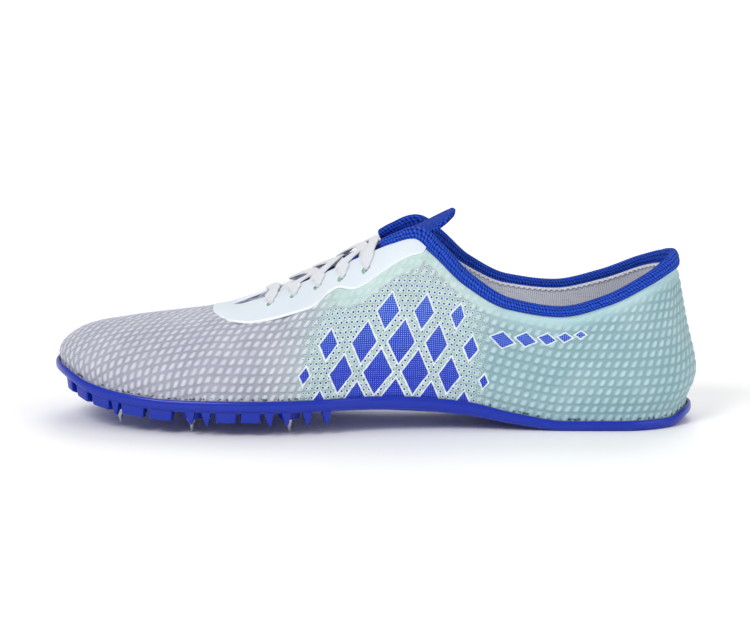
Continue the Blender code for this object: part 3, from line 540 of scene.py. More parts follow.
gloss = Finish("moulded_plastic", (0, 35, 160), Roughness=0.3, Specular_IOR_Level=0.3,
               Coat_Weight=0.15, Coat_Roughness=0.12)
is_panel = gloss.mark("panel")[0].ramp(0.3, 0.7)
mottle = gloss.noise(60.0, 3.0)
grain = gloss.noise(5200.0, 1.0)
gloss.feed(
    Base_Color=gloss.mix(is_panel * 0.75 + mottle * 0.12, (0, 35, 160), (36, 82, 202)),
    Roughness=0.22 + mottle * 0.16 + is_panel * 0.3,
    Coat_Weight=0.22 - is_panel * 0.2)
gloss.bump(grain * (0.12 + is_panel * 0.88) + gloss.noise(140.0, 2.0) * 0.25, 0.09 * MM, 0.7)

plate, plate_marks = make_plate()
tread = make_tread()
tread_count = sum(len(points) for points, _ in tread)
plate_marks = np.concatenate((plate_marks, np.zeros((tread_count, 3))))
sole = add_piece("sole_plate", [plate, *tread], gloss.material,
                 marks={"panel": plate_marks}, sharp=32)
settle(sole, "moulded_sole", "outsole")


# Pins
# Seven turned steel pins. Each has a hexagon base for the key, a short collar above it, and
# a slender cone with a blunt tip. They are screwed into the bosses of the plate.
steel = Finish("pin_steel", (196, 196, 200), Metallic=1.0, Roughness=0.24)
rings = steel.axes(steel.position())[2].ripple(0.22 * MM) * 0.5 + 0.5
steel.feed(Roughness=0.18 + steel.noise(900.0) * 0.16,
           Base_Color=steel.mix(steel.noise(240.0), (150, 148, 150), (222, 222, 226)))
steel.bump(rings, 0.012 * MM, 0.6)

PIN_SEAT = 4.3 * MM
PIN_SHOULDER = 5.8 * MM

for number, (along, side) in enumerate(PINS, start=1):
    x, y, z = pin_place(along, side)
    seat, shoulder, tip = z - PIN_SEAT, z - PIN_SHOULDER, z - STAND
    hexagon = [(0, seat), (2.05 * MM, seat), (2.2 * MM, seat - 0.15 * MM),
               (2.2 * MM, shoulder + 0.3 * MM), (2.0 * MM, shoulder), (0, shoulder)]
    neck = [(0, 0.2), (1.75, 0.2), (1.7, -0.15), (1.3, -0.35), (1.3, -0.75)]
    point = [(0.75, 2.0), (0.38, 0.35), (0.3, 0.08), (0.18, 0), (0, 0)]
    cone = [(radius * MM, low + height * MM)
            for low, rows in ((shoulder, neck), (tip, point)) for radius, height in rows]
    base, cone = turned((x, y), hexagon, 6), turned((x, y), cone, 28)
    pin = add_piece(f"pin_{number}", [base, cone], steel.material, sharp=28)
    settle(pin, "pin_steel", f"spike_{number}")


# Insole
# A thin foam sock liner faced with dark navy cloth, which lies loose on the floor of the
# plate. Its edge is rounded all round, and its middle is a little lower than its edge.
navy = Finish("insole_cloth", (22, 28, 66), Roughness=0.9, Sheen_Weight=0.3)


def make_insole(stations=160, across=60):
    """Sections across the liner: flat underneath, with a rounded edge, and a top whose middle
    dips by 0.7 mm."""
    station = np.linspace(0, 1, stations)[:, None]
    inset = np.array([4.9, 4.9, 5.0, 5.3, 5.9])[None, :] * MM
    lift = np.array([0.45, 2.0, 2.7, 3.1, 3.25])[None, :] * MM
    rims = []
    for side in (1.0, -1.0):
        xy = edge(station, side, inset)
        rims.append(with_height(xy, floor_height(xy[..., 0]) + lift))
    outer, inner = rims
    top = straight(outer[:, -1:], inner[:, -1:], across)
    dip = np.sin(np.pi * np.linspace(0, 1, across)[None, :]) ** 0.8
    top[..., 2] = floor_height(top[..., 0]) + 3.25 * MM - 0.7 * MM * dip
    bottom = straight(inner[:, :1], outer[:, :1], across)
    bottom[..., 2] = floor_height(bottom[..., 0]) + 0.45 * MM
    section = np.concatenate((outer, top[:, 1:-1], inner[:, ::-1], bottom[:, 1:-1]), axis=1)
    return loops(section)


cloth_x, cloth_y, _ = navy.axes(navy.position())
cloth = cloth_x.ripple(0.8 * MM) * cloth_y.ripple(0.8 * MM) * 0.5 + 0.5
navy.feed(Base_Color=navy.mix(cloth * 0.6 + navy.noise(90.0) * 0.4, (16, 22, 62), (54, 64, 122)))
navy.bump(cloth, 0.15 * MM, 0.8)
settle(add_piece("sock_liner", [make_insole()], navy.material), "sock_liner", "insole")


# Upper
# One knitted shell, lasted over the foot and bonded inside the lip of the plate. The knit
# has raised slanted dashes on a fine mesh, pale grey at the toe and mint behind, and a
# dotted blue print across the waist. A ribbed white lining backs it.
INSTEP_HEIGHT = 84 * MM
THROAT_END = 0.670
CORNER = 0.472
TOPLINE = Table("station reach middle gap rise turn bulge", [
    (0.000, 0.026, 0.000, 0.000, 0.800, 34, 1.75), (0.110, 0.038, 0.000, 0.235, 0.792, 34, 1.55),
    (0.183, 0.075, 0.000, 0.450, 0.738, 36, 1.10), (0.253, 0.138, 0.000, 0.548, 0.646, 38, 0.75),
    (0.311, 0.211, 0.000, 0.582, 0.592, 40, 0.40), (0.369, 0.291, 0.000, 0.560, 0.628, 44, 0.45),
    (0.416, 0.358, -0.005, 0.488, 0.745, 52, 0.55), (0.449, 0.407, -0.015, 0.392, 0.890, 59, 0.60),
    (0.472, 0.436, -0.020, 0.325, 0.958, 64, 0.65), (0.500, 0.468, -0.025, 0.295, 0.928, 68, 0.70),
    (0.538, 0.524, -0.040, 0.272, 0.846, 71, 0.80), (0.577, 0.582, -0.050, 0.250, 0.756, 74, 0.90),
    (0.617, 0.647, -0.062, 0.207, 0.662, 79, 0.95), (0.641, 0.689, -0.070, 0.155, 0.610, 83, 0.95),
    (0.659, 0.713, -0.075, 0.082, 0.585, 87, 0.95), (0.670, 0.720, -0.080, 0.000, 0.578, 90, 0.95),
    (0.705, 0.749, -0.092, 0.000, 0.560, 90, 0.95), (0.756, 0.791, -0.110, 0.000, 0.540, 90, 0.90),
    (0.817, 0.839, -0.130, 0.000, 0.520, 90, 0.80), (0.872, 0.868, -0.145, 0.000, 0.505, 90, 0.65),
    (1.000, 0.890, -0.160, 0.000, 0.495, 90, 0.50)], odd=("gap",))
FILM = Table("station width", [
    (0.456, 0.000), (0.459, 0.140), (0.466, 0.270), (0.475, 0.360), (0.490, 0.470), (0.503, 0.600),
    (0.517, 0.740), (0.527, 0.770), (0.537, 0.710), (0.547, 0.640), (0.556, 0.700), (0.564, 0.860),
    (0.573, 0.925), (0.600, 0.935), (0.617, 0.920), (0.630, 0.885), (0.641, 0.830), (0.650, 0.780),
    (0.659, 0.750), (0.670, 0.740), (0.675, 0.677), (0.680, 0.600), (0.686, 0.490), (0.692, 0.390),
    (0.698, 0.255), (0.702, 0.150), (0.706, 0.050), (0.708, 0.000)])
FILM_WIDTH = 26 * MM


def upper(station, side, row):
    """Outer face of the upper. Each column is an arc of an ellipse, from its foot inside the
    sole's lip to the top line, with a soft swell above the lip that dies away upwards."""
    station, side, row = np.broadcast_arrays(*(np.asarray(a, dtype=float) for a in (station, side, row)))
    foot = edge(station, side, LIP_WIDTH + CLEAR)
    foot_z = floor_height(foot[..., 0]) + CLEAR
    middle, gap = TOPLINE.read("middle", station), TOPLINE.read("gap", station)
    inner = clamp(np.sin((station - 0.12) / 0.34 * np.pi)) * (station < 0.46)
    top_z = TOPLINE.read("rise", station) * INSTEP_HEIGHT + np.where(side < 0, inner * 3.0 * MM, 0)
    top = np.stack((TOPLINE.read("reach", station) * LENGTH, (middle + side * gap) * HALF_BALL), axis=-1)
    turn = np.radians(TOPLINE.read("turn", station))
    across = ((1 - np.cos(turn * row)) / (1 - np.cos(turn))) ** 1.18
    upward = np.sin(turn * row) / np.sin(turn)
    swell = np.clip((row - 0.07) / 0.24, 0, None)
    swell = (1 - row) * (swell * np.exp(1 - swell)) ** 2 * TOPLINE.read("bulge", station) * 3.2
    outward = edge(station, side, 0.0) - edge(station, side, MM)
    flat = foot + (top - foot) * across[..., None] + outward * swell[..., None]
    return with_height(flat, foot_z + (top_z - foot_z) * upward)


def even_stations(count):
    """Stations that are evenly spaced along the wall, halfway up, with the end of the throat
    among them."""
    dense = np.linspace(0, 1, 3001)
    run = run_along(upper(dense, 1.0, 0.4))
    station = np.interp(np.linspace(0, run[-1], count), run, dense)
    station[np.abs(station - THROAT_END).argmin()] = THROAT_END
    return station, np.interp(station, dense, run)


def ring_normals(ring):
    """Outward normals of a closed ring of columns, from the differences of neighbours."""
    along = np.roll(ring, -1, axis=0) - np.roll(ring, 1, axis=0)
    return direction(np.cross(np.gradient(ring, axis=1), along))


class WallRing:
    """Outer face of the upper as a ring of columns, along the outer side from the heel to
    the toe and back along the inner side, with its outward normals. On the ridge of the
    vamp, where the sides meet, both have the same normal."""

    def __init__(self, columns, rows):
        self.station, self.run = even_stations(columns)
        self.end = int(np.flatnonzero(self.station == THROAT_END)[0])
        row = np.linspace(0, 1, rows)
        self.halves = [upper(self.station[:, None], side, row[None, :]) for side in (1.0, -1.0)]
        outer = np.arange(columns)
        self.order = np.concatenate((outer, columns + outer[-2:0:-1]))
        self.sides = (outer, -outer % len(self.order))
        self.points = np.concatenate(self.halves)[self.order]
        self.normal = ring_normals(self.points)
        both = self.normal[self.sides[0], -1] + self.normal[self.sides[1], -1]
        both[-1] = both[-2]
        for index in self.sides:
            self.normal[index[self.end:], -1] = direction(both)[self.end:]

    def sheets(self, front, behind):
        """A sheet for each side, from a front face and a back face that may be coarser, with
        rims at the foot and along the top line."""
        rims = np.s_[:, 0], np.s_[:self.end + 1, -1]
        return [double_sheet(front[index], behind[index], *rims) for index in self.sides]


def unit(value):
    return value.most(0.0).least(1.0) if isinstance(value, Signal) else clamp(value)


def offset_cell(u, v, pitch, row, lean=0.0):
    """Place in a cell, across and along, from -0.5 to 0.5. Every other row of cells is moved
    by half a pitch, and a cell leans by a share of the pitch over its row."""
    line = v / row
    part = line % 1.0
    odd = (line - part) % 2.0
    along = part - 0.5
    return (u / pitch + odd * 0.5 + along * lean) % 1.0 - 0.5, along


DASH_PITCH = 3.8
DASH_ROW = 3.9
DASH_LIFT = 0.45 * MM
DASH_LEAN = -0.68
KNIT_DEPTH = 1.1 * MM


def dash(u, v):
    """Height of the raised dashes, 0 to 1, at a place in millimetres. They stand in rows,
    every other row moved by half a pitch. Each is a leaning lozenge with soft sides: one
    minus the square of the place across it and the fourth power of the place along it."""
    across, along = (place * 2.0 for place in offset_cell(u, v, DASH_PITCH, DASH_ROW, DASH_LEAN))
    square = along * along
    return unit(1.25 - across * across * (2.3 - along * 0.9) - square * square * 2.6)


def make_knit(columns=321, rows=136, back_rows=12):
    """Outer face of the upper, lifted by the dashes and sunk by the creases over the ball,
    with a smooth face behind it. The map of the weave unrolls the surface from the ridge of
    the vamp outwards, and behind the throat it follows the wall. Marks are the run along the
    shoe, the height up the wall and the distance from the film, in millimetres."""
    wall = WallRing(columns, rows)
    station, run, end = wall.station, wall.run, wall.end
    height = sum(run_along(half) for half in wall.halves) / 2
    total = height[:, -1:]
    ridge = (wall.halves[0][:, -1] + wall.halves[1][:, -1]) / 2
    ridge_run = run_along(ridge)
    feet = [half[:, 0] for half in wall.halves]
    reach = length_of((feet[0] - feet[1])[:, :2])[:, 0] / 2
    angle = np.arctan2(reach, (feet[0] + feet[1])[:, 0] / 2 - ridge[:, 0])
    angle[:end] = angle[end]
    in_throat = np.arange(columns) < end
    base = np.where(in_throat, run - run[end], ridge_run - ridge_run[end])
    down = np.where(in_throat[:, None], total[end] - height, total - height)
    maps = [joined(base[:, None] + down * np.cos(angle)[:, None],
                   side * down * np.sin(angle)[:, None]) / MM for side in (1.0, -1.0)]

    width = FILM.read("width", np.clip(station, FILM.key[0], FILM.key[-1])) * FILM_WIDTH
    width = np.where((station > FILM.key[0]) & (station < FILM.key[-1]), width, 0.0)
    run, height, from_top = run[:, None] / MM, height / MM, (total - height) / MM
    off_film = from_top - width[:, None] / MM
    calm = clamp(off_film / 3.0) * clamp(from_top / 5) ** (station < THROAT_END)[:, None]
    calm = calm * clamp((height - 3.0) / 2.5)
    crease = np.zeros_like(height)
    for start, lean, wide, deep in ((212, 0.25, 5.0, 1.0), (225, 0.1, 4.0, 0.7), (200, 0.45, 3.5, 0.6)):
        place = (run - start + lean * height) / wide
        crease += deep * MM * np.exp(-place ** 2) * clamp((height - 6) / 14)
    marks = joined(run, height, off_film)

    weave, calm, crease = (np.concatenate(pair)[wall.order]
                           for pair in (maps, (calm, calm), (crease, crease)))
    lift = dash(weave[..., 0], weave[..., 1]) * DASH_LIFT * calm - crease
    ridge = slice(end, len(lift) - end + 1)
    lift[ridge, -1] = lift[ridge, -1].mean()
    front = wall.points + wall.normal * lift[..., None]
    back_of = np.linspace(0, rows - 1, back_rows).astype(int)
    behind = (wall.points - wall.normal * KNIT_DEPTH)[:, back_of]
    behind[:, 0, 2] = front[:, 0, 2]
    uv = [face.reshape(-1, 2) for flat in maps for face in (flat, flat[:, back_of])]
    marks = [marks.reshape(-1, 3), marks[:, back_of].reshape(-1, 3)] * 2
    return wall.sheets(front, behind), np.concatenate(uv), np.concatenate(marks)


def knit_finish():
    """Dashes over a mesh of fine ribs and pinholes. The pinholes are painted dark as shade,
    the tops of the dashes and ribs are painted lighter, partly as highlight, the ground
    between them is darker, partly as painted shade, and painted shadow spots run along the
    lip. Along the shoe the yarn changes from mint to white and to pale grey. The print over
    the waist has dotted blue diamonds of many sizes on a field of ringed dots, and a chain
    of small ones runs to the heel."""
    knit = Finish("upper_knit", (200, 215, 220), Roughness=0.85, Sheen_Weight=0.1)
    u, v = knit.uv()
    run, height, off_film = knit.mark("place")
    wander = knit.noise(55.0, 3.0)
    toe = (run + height * 0.25 + wander * 20).ramp(190.0, 232.0)
    waist = (run + height * 0.3 + wander * 16).ramp(112.0, 158.0)
    smooth = (1 - off_film.ramp(1.5, 9.5)) * (1 - run.ramp(92.0, 118.0))
    beside_film = (1 - off_film.ramp(5.0, 6.5)) * run.ramp(100.0, 112.0) * (1 - run.ramp(176.0, 190.0))
    uneven = knit.noise(210.0, 1.0).ramp(0.25, 0.75)
    raised = dash(u, v) * (1 - smooth * 0.9) * (1 - beside_film * 0.5) * (uneven * 0.35 + 0.65)
    rib, rung = ((u * 0.80 + v * lean).ripple(0.9) for lean in (0.60, -0.60))
    mesh = rib * rung * 0.5 + 0.5
    strand = rib * 0.5 + 0.5
    open_mesh = knit.noise(170.0, 2.0).ramp(0.40, 0.62)
    # Painted shade: the pinholes of the mesh are painted dark grey-blue, as holes in shade.
    pinhole_shade = (1 - mesh.ramp(0.08, 0.50)) * (1 - raised * 0.85)
    pinhole_shade = pinhole_shade * (0.42 + waist * (0.58 - toe * 0.25) * open_mesh) * (1 - smooth * 0.8)

    # Dash tops and rib crests take a lighter colour, partly the yarn's own and partly a painted highlight,
    # and the ground between them a darker one, partly painted shade.
    ground_and_shade = knit.mix(waist, (121, 159, 167), (154, 171, 177))
    ground_and_shade = knit.mix(toe, ground_and_shade, (148, 149, 167))
    crest_and_highlight = knit.mix(waist, (183, 214, 219), (222, 230, 233))
    crest_and_highlight = knit.mix(toe, crest_and_highlight, (215, 216, 227))
    colour = knit.mix(strand * 0.42, ground_and_shade, crest_and_highlight)
    colour = knit.mix(raised * 0.86, colour, crest_and_highlight)
    # Painted shadow: dark navy spots along the line where the knit meets the sole's lip.
    lip_shadow = (1 - abs(height - 2.9).ramp(0.2, 0.9)) * knit.noise(620.0, 1.0).ramp(0.52, 0.60)

    pitch, centre, lean_a, lean_b = 16.0, 150.0, 0.74, -0.50
    leaning = [(run + height * lean - centre) / pitch + 0.5 for lean in (lean_a, lean_b)]
    part = [place % 1.0 for place in leaning]
    cell = [place - rest for place, rest in zip(leaning, part)]
    middle_up = (cell[0] - cell[1]) * (pitch / (lean_a - lean_b))
    middle_run = cell[0] * pitch - middle_up * lean_a + centre
    field_run, field_up = 149.0, 8.0
    size = unit(1 - ((middle_run - field_run) / 46.0) ** 2.0)
    size = size * unit(1 - ((middle_up - field_up) / 54.0) ** 2.0)
    centre_off_film = off_film + (height - middle_up) + (run - middle_run) * 0.35
    size = (size - 0.10) ** 0.6 * 6.6 * (centre_off_film.ramp(5.0, 17.0) * 0.85 + 0.15)
    gap = size - abs(part[0] - 0.5).most(abs(part[1] - 0.5)) * pitch
    gap = gap.least(off_film - 6.8)
    shown = size.ramp(1.6, 1.7)
    band = gap.ramp(-0.12, 0.12) * shown
    edging = (gap + 0.75).ramp(-0.12, 0.12) * (1 - band) * shown
    across, up = (run - field_run) / 44.0, (height - 6.0) / 56.0
    fade = (unit(1 - across * across) * unit(1 - up * up)).ramp(0.02, 0.42) * off_film.ramp(6.2, 6.8)
    chain = [size - abs(run - start) - abs(height - rise) * 1.5 for start, rise, size in (
        (101.0, 33.0, 5.2), (91.0, 35.5, 4.4), (82.0, 37.6, 3.6), (74.5, 39.3, 2.9), (68.0, 40.6, 2.2))]
    link = chain[0].most(chain[1]).most(chain[2]).most(chain[3]).most(chain[4])
    linked = link.ramp(-0.2, 0.2)
    edging = edging.most((link + 0.9).ramp(-0.2, 0.2) * (1 - linked))
    band = band.most(linked)

    cell_a, cell_b = (run / 0.9) % 1.0 - 0.5, (height / 0.9) % 1.0 - 0.5
    tone = 0.15 + height.ramp(4.0, 50.0) * 0.17
    light_dot = 1 - ((cell_a * cell_a + cell_b * cell_b) ** 0.5 - tone).ramp(-0.06, 0.06)
    print_colour = knit.mix(light_dot, (4, 40, 182), (128, 172, 236))
    ring_pitch, ring_row = 2.4, 2.1
    across, along = offset_cell(run, height, ring_pitch, ring_row)
    ring = (across * across * ring_pitch ** 2 + along * along * ring_row ** 2) ** 0.5
    reach = fade * 0.55 + 0.45
    white_ring = (1 - (ring / reach).ramp(0.70, 0.84)) * fade.ramp(0.04, 0.1)
    blue_dot = (1 - (ring / reach).ramp(0.42, 0.54)) * fade.ramp(0.04, 0.1)
    for share, shade in (
            (smooth * 0.7, (190, 224, 227)), (pinhole_shade * 0.9, (76, 86, 106)),
            (beside_film * 0.65, (196, 224, 218)), (wander.ramp(0.35, 0.75) * 0.10, (238, 246, 247)),
            (lip_shadow * 0.85, (28, 34, 84)), (fade * 0.62, (166, 202, 186)), (white_ring, (232, 240, 244)),
            (blue_dot, (8, 34, 164)), (edging, (232, 239, 244)), (band, print_colour)):
        colour = knit.mix(share, colour, shade)
    knit.feed(Base_Color=colour, Roughness=0.88 - band * 0.25)
    relief = raised * 0.7 + strand * 0.10 - pinhole_shade * 0.22 + wander * 0.1
    knit.bump(relief * (1 - band * 0.4), 0.55 * MM, 0.9)
    return knit


knit_parts, knit_uv, knit_marks = make_knit()
knit = knit_finish()
shell = add_piece("knit_shell", knit_parts, knit.material, uv=knit_uv, marks={"place": knit_marks})
settle(shell, "upper_knit", "upper")


LINING_DEPTHS = (1.15 * MM, 1.95 * MM)


def make_lining(columns=181, rows=46):
    """Thin closed sheet just inside the knit, from the insole to the top line."""
    wall = WallRing(columns, rows)
    near, far = (wall.points - wall.normal * depth for depth in LINING_DEPTHS)
    near[:, 0, 2] = far[:, 0, 2] = wall.points[:, 0, 2]
    uv = []
    for index, side in zip(wall.sides, (1.0, -1.0)):
        flat = joined(wall.run[:, None], side * run_along(wall.points[index])) / MM
        uv += [flat.reshape(-1, 2)] * 2
    return wall.sheets(near, far), np.concatenate(uv)


lining_parts, lining_uv = make_lining()
cream = Finish("lining_cloth", (214, 216, 226), Roughness=0.9, Sheen_Weight=0.1)
u, v = cream.uv()
fine_rib = (u + (v * 0.7).sine() * 0.0573).ripple(0.9) * 0.5 + 0.5
streak = cream.start.node("CombineXYZ", inputs={0: u * 0.16, 1: v * 1.6})
fleck = cream.noise(1.0, 2.0, streak).ramp(0.58, 0.72)
ribbed = cream.mix(fine_rib, (196, 199, 212), (232, 233, 240))
cream.feed(Base_Color=cream.mix(fleck * 0.5, ribbed, (120, 124, 142)))
cream.bump(fine_rib, 0.2 * MM, 0.8)
settle(add_piece("lining", lining_parts, cream.material, uv=lining_uv), "upper_knit")


# Collar
# A padded band of coarse royal blue knit, sewn to the top line from one side of the throat
# round the heel to the other. It is a thin rolled edge at the ankle and a thick pad beside
# the laces.
LACE_FIRST = 21.0 * MM
LACE_PITCH = 11.5 * MM
LACE_WIDTH = 5.0 * MM
BAND = Table("station width", [
    (0.000, 1.00), (0.080, 0.92), (0.183, 0.62), (0.311, 0.52), (0.416, 0.70), (0.472, 0.95), (0.700, 0.86)])


def throat_line():
    """Stations from the collar's corner to the end of the throat, and how far each lies down
    the throat's edge."""
    station = np.linspace(CORNER, THROAT_END, 400)
    return station, run_along(upper(station, 1.0, 1.0))


def throat_station(distance):
    station, run = throat_line()
    return np.interp(distance, run, station)


def topline_frame(station, side):
    """Edge of the upper, its outward normal, and the direction that leads past the edge."""
    point = upper(station, side, 1.0)
    up = point - upper(station, side, 0.998)
    behind = np.abs(station - 2e-3)
    behind_side = np.where(station < 2e-3, -side, side)
    along = direction(upper(station + 2e-3, side, 1.0) - upper(behind, behind_side, 1.0))
    normal = direction(np.cross(along, up) * -side[..., None])
    past = np.cross(normal, along)
    return point, normal, past * np.sign(np.sum(past * up, axis=-1, keepdims=True))


STITCH_PITCH = 1.3
STITCH_ROW = 1.04


def stitch_height(u, v):
    """Height of rounded stitches in offset rows, 0 to 1, at a place in millimetres. A stitch
    is a leaning oval: one minus the squares of its places across and along."""
    across, along = offset_cell(u, v, STITCH_PITCH, STITCH_ROW, 0.5)
    return unit(1.2 - across * across * 4.2 - along * along * 3.6)


def make_collar(columns=700, around=40):
    """Section of the band, a rounded oval that stands on the edge of the upper, carried
    round the top line and lifted by the stitches of its knit. Both ends shrink to a cap."""
    stop = throat_station(LACE_FIRST - LACE_WIDTH / 2 - 3 * MM)
    dense = np.linspace(0, stop, 1500)
    run = run_along(upper(dense, 1.0, 1.0))
    half = np.interp(np.linspace(0, run[-1], columns // 2), run, dense)
    half_run = np.interp(half, dense, run)
    station = np.concatenate((half[:0:-1], half))
    side = np.concatenate((-np.ones(len(half) - 1), np.ones(len(half))))
    run = np.concatenate((-half_run[:0:-1], half_run))
    point, normal, past = topline_frame(station, side)
    width = BAND.read("width", station) * 6.5 * MM
    left = run[-1] - np.abs(run)
    cap = round_rise(left / (1.6 * MM))[:, None]
    girth = (width + 3.8 * MM) * 1.55
    turns = np.round(girth.mean() / MM / (2 * STITCH_ROW)) * 2 * STITCH_ROW
    u, v = run[:, None] / MM, np.arange(around)[None, :] / around * turns
    relief = stitch_height(u, v) * 0.16 * MM * cap
    (cos, sin), wide, deep = (squared_circle(around, power) for power in (1.0, 0.86, 0.9))
    low, high = -0.9 * MM, width + 0.25 * MM
    across = ((low + high) / 2)[:, None] + ((high - low) / 2)[:, None] * wide[0] * cap
    depth = 1.85 * MM * cap * deep[1] - 0.1 * MM
    points = (point[:, None] + past[:, None] * (across + relief * cos)[..., None]
              + normal[:, None] * (depth + relief * sin)[..., None])
    return loops(points), joined(u, v).reshape(-1, 2), (point, normal, past, run)


blue_knit = Finish("collar_knit", (24, 52, 168), Roughness=0.9, Specular_IOR_Level=0.25)
u, v = blue_knit.uv()
stray = blue_knit.noise(420.0, 2.0)
stitch = stitch_height(u + stray, v + stray * 0.8)
fuzz = blue_knit.noise(1600.0, 2.0)
stitched = blue_knit.mix(stitch, (2, 9, 72), (34, 84, 216))
blue_knit.feed(Base_Color=blue_knit.mix(fuzz.ramp(0.55, 0.8) * 0.18, stitched, (110, 146, 232)))
blue_knit.bump(stitch + fuzz * 0.25, 0.3 * MM, 0.9)

collar_part, collar_uv, collar_line = make_collar()
collar = add_piece("collar_band", [collar_part], blue_knit.material, uv=collar_uv)
settle(collar, "blue_knit", "collar")


# Tongue
# A curved sheet of the same blue knit under the throat. It is sewn in at the front of the
# throat, and its free end stands up past the laces with a soft rounded edge.
TONGUE_HALF = 1.15 * MM
TONGUE_DROP = 3.8 * MM
TONGUE_FLAP = 16.0 * MM


def instep_lines(station):
    """Lines across the instep from the inner wall over the throat to the outer one. Over the
    gap each is a cubic that leaves both edges in the direction of the wall."""
    row = np.linspace(0, 1, 49)
    outer, inner = upper(station[:, None], 1.0, row), upper(station[:, None], -1.0, row)
    reach = length_of(outer[:, -1] - inner[:, -1])
    leave = direction(inner[:, -1] - inner[:, -3]) * reach
    arrive = direction(outer[:, -3] - outer[:, -1]) * reach
    t = np.linspace(0, 1, 17)[1:-1, None]
    bridge = ((1 + 2 * t) * (1 - t) ** 2 * inner[:, None, -1] + t * (1 - t) ** 2 * leave[:, None]
              + t * t * (3 - 2 * t) * outer[:, None, -1] + t * t * (t - 1) * arrive[:, None])
    points = np.concatenate((inner, bridge, outer[:, ::-1]), axis=1)
    steps = length_of(np.diff(points, axis=1))[..., 0] + 1e-9
    distance = np.concatenate((np.zeros((len(station), 1)), np.cumsum(steps, axis=1)), axis=1)
    left, right = distance[:, 48], distance[:, -49]
    return points, distance - ((left + right) / 2)[:, None], (right - left) / 2


def instep(station, across):
    """Points of the instep: a row of distances from the middle for each station."""
    points, distance, _ = instep_lines(station)
    place = (distance[:, None, :] <= across[:, :, None]).sum(axis=-1) - 1
    place = np.clip(place, 0, distance.shape[1] - 2)
    line = np.arange(len(station))[:, None]
    low, high = distance[line, place], distance[line, place + 1]
    share = clamp((across - low) / (high - low))[..., None]
    return points[line, place] * (1 - share) + points[line, place + 1] * share


def instep_frames(station, across):
    """Points of the instep with their outward normals."""
    forward = instep(station + 0.004, across) - instep(station - 0.004, across)
    sideways = instep(station, across + 0.5 * MM) - instep(station, across - 0.5 * MM)
    return instep(station, across), direction(np.cross(forward, sideways))


def make_tongue(rows=110, columns=61):
    """Sheet under the instep's line with a free flap. Both faces swell in the middle and
    come together at the edge."""
    station = np.linspace(0.698, CORNER, rows)
    share = np.linspace(-1, 1, columns)
    _, _, half_gap = instep_lines(station)
    tuck = np.minimum(1.0, (station - CORNER) / 0.06)
    half_width = half_gap - 3.8 * MM * (1 - tuck) + 9.0 * MM * tuck
    sheet = instep(station, share[None, :] * half_width[:, None])
    lead = sheet[-1].mean(axis=0) - sheet[-10].mean(axis=0)
    lead /= np.linalg.norm(lead)
    t = np.linspace(0, 1, 31)[1:, None, None]
    narrow = np.sqrt(clamp(1 - (0.97 * t) ** 3.0))
    middle = sheet[-1, columns // 2]
    flap = middle + (sheet[-1] - middle) * narrow + lead * TONGUE_FLAP * t
    grid = np.concatenate((sheet, flap))
    along, across = np.gradient(grid, axis=0), np.gradient(grid, axis=1)
    along[rows:] = lead
    normal = np.cross(along, across)
    normal = direction(normal * np.sign(normal[:, columns // 2:columns // 2 + 1, 2:3]))
    run = run_along(grid[:, columns // 2])
    from_end = (run[-1] - run)[:, None]
    half = length_of(grid[:, -1] - grid[:, 0]) / 2
    from_side = half * (1 - np.abs(share[None, :]))
    room = np.minimum(from_end, from_side)
    puff = round_rise(room / (1.3 * MM))
    u, v = run[:, None] / MM, share[None, :] * half / MM
    stitches = stitch_height(u, v) * 0.12 * MM * puff
    centre = grid - normal * TONGUE_DROP
    top = centre + normal * (TONGUE_HALF * puff + stitches)[..., None]
    bottom = centre - normal * (TONGUE_HALF * puff)[..., None]
    uv = joined(u, v).reshape(-1, 2)
    return double_sheet(top, bottom, np.s_[0]), np.concatenate((uv, uv))


tongue_part, tongue_uv = make_tongue()
tongue = add_piece("tongue_sheet", [tongue_part], blue_knit.material, uv=tongue_uv)
settle(tongue, "blue_knit", "tongue")


# Eyestay
# A smooth ice-white film that is pressed on to the knit round the throat, with both sides in
# one piece at the front. Its cut edge is thin, with a painted highlight along it and round
# the slots, and sunk slots for the lace lie 11 mm from the throat.
FILM_TOP = 0.85 * MM
LACE_ROWS = 5
SLOT_INSET = 11 * MM
SLOT_RISE = 2.5 * MM
THROAT_INSET = 0.35 * MM


def slot_depth(distance, out):
    """Mark of the lace slots, from 0 on the film to 1 inside a slot, at a distance down the
    throat and a distance out from its edge. A slot is a teardrop with its point outwards."""
    depth = np.zeros(out.shape)
    for row in range(LACE_ROWS):
        along = (distance - LACE_FIRST - row * LACE_PITCH + SLOT_RISE) / (2.5 * MM)
        across = (out - SLOT_INSET - 0.6 * MM) / (2.4 * MM)
        wide = np.clip(0.8 - 0.45 * across, 0.05, 1.2)
        reach = np.sqrt((along / wide) ** 2 + across ** 2)
        depth = np.maximum(depth, clamp((1.0 - reach) / 0.16))
    return depth


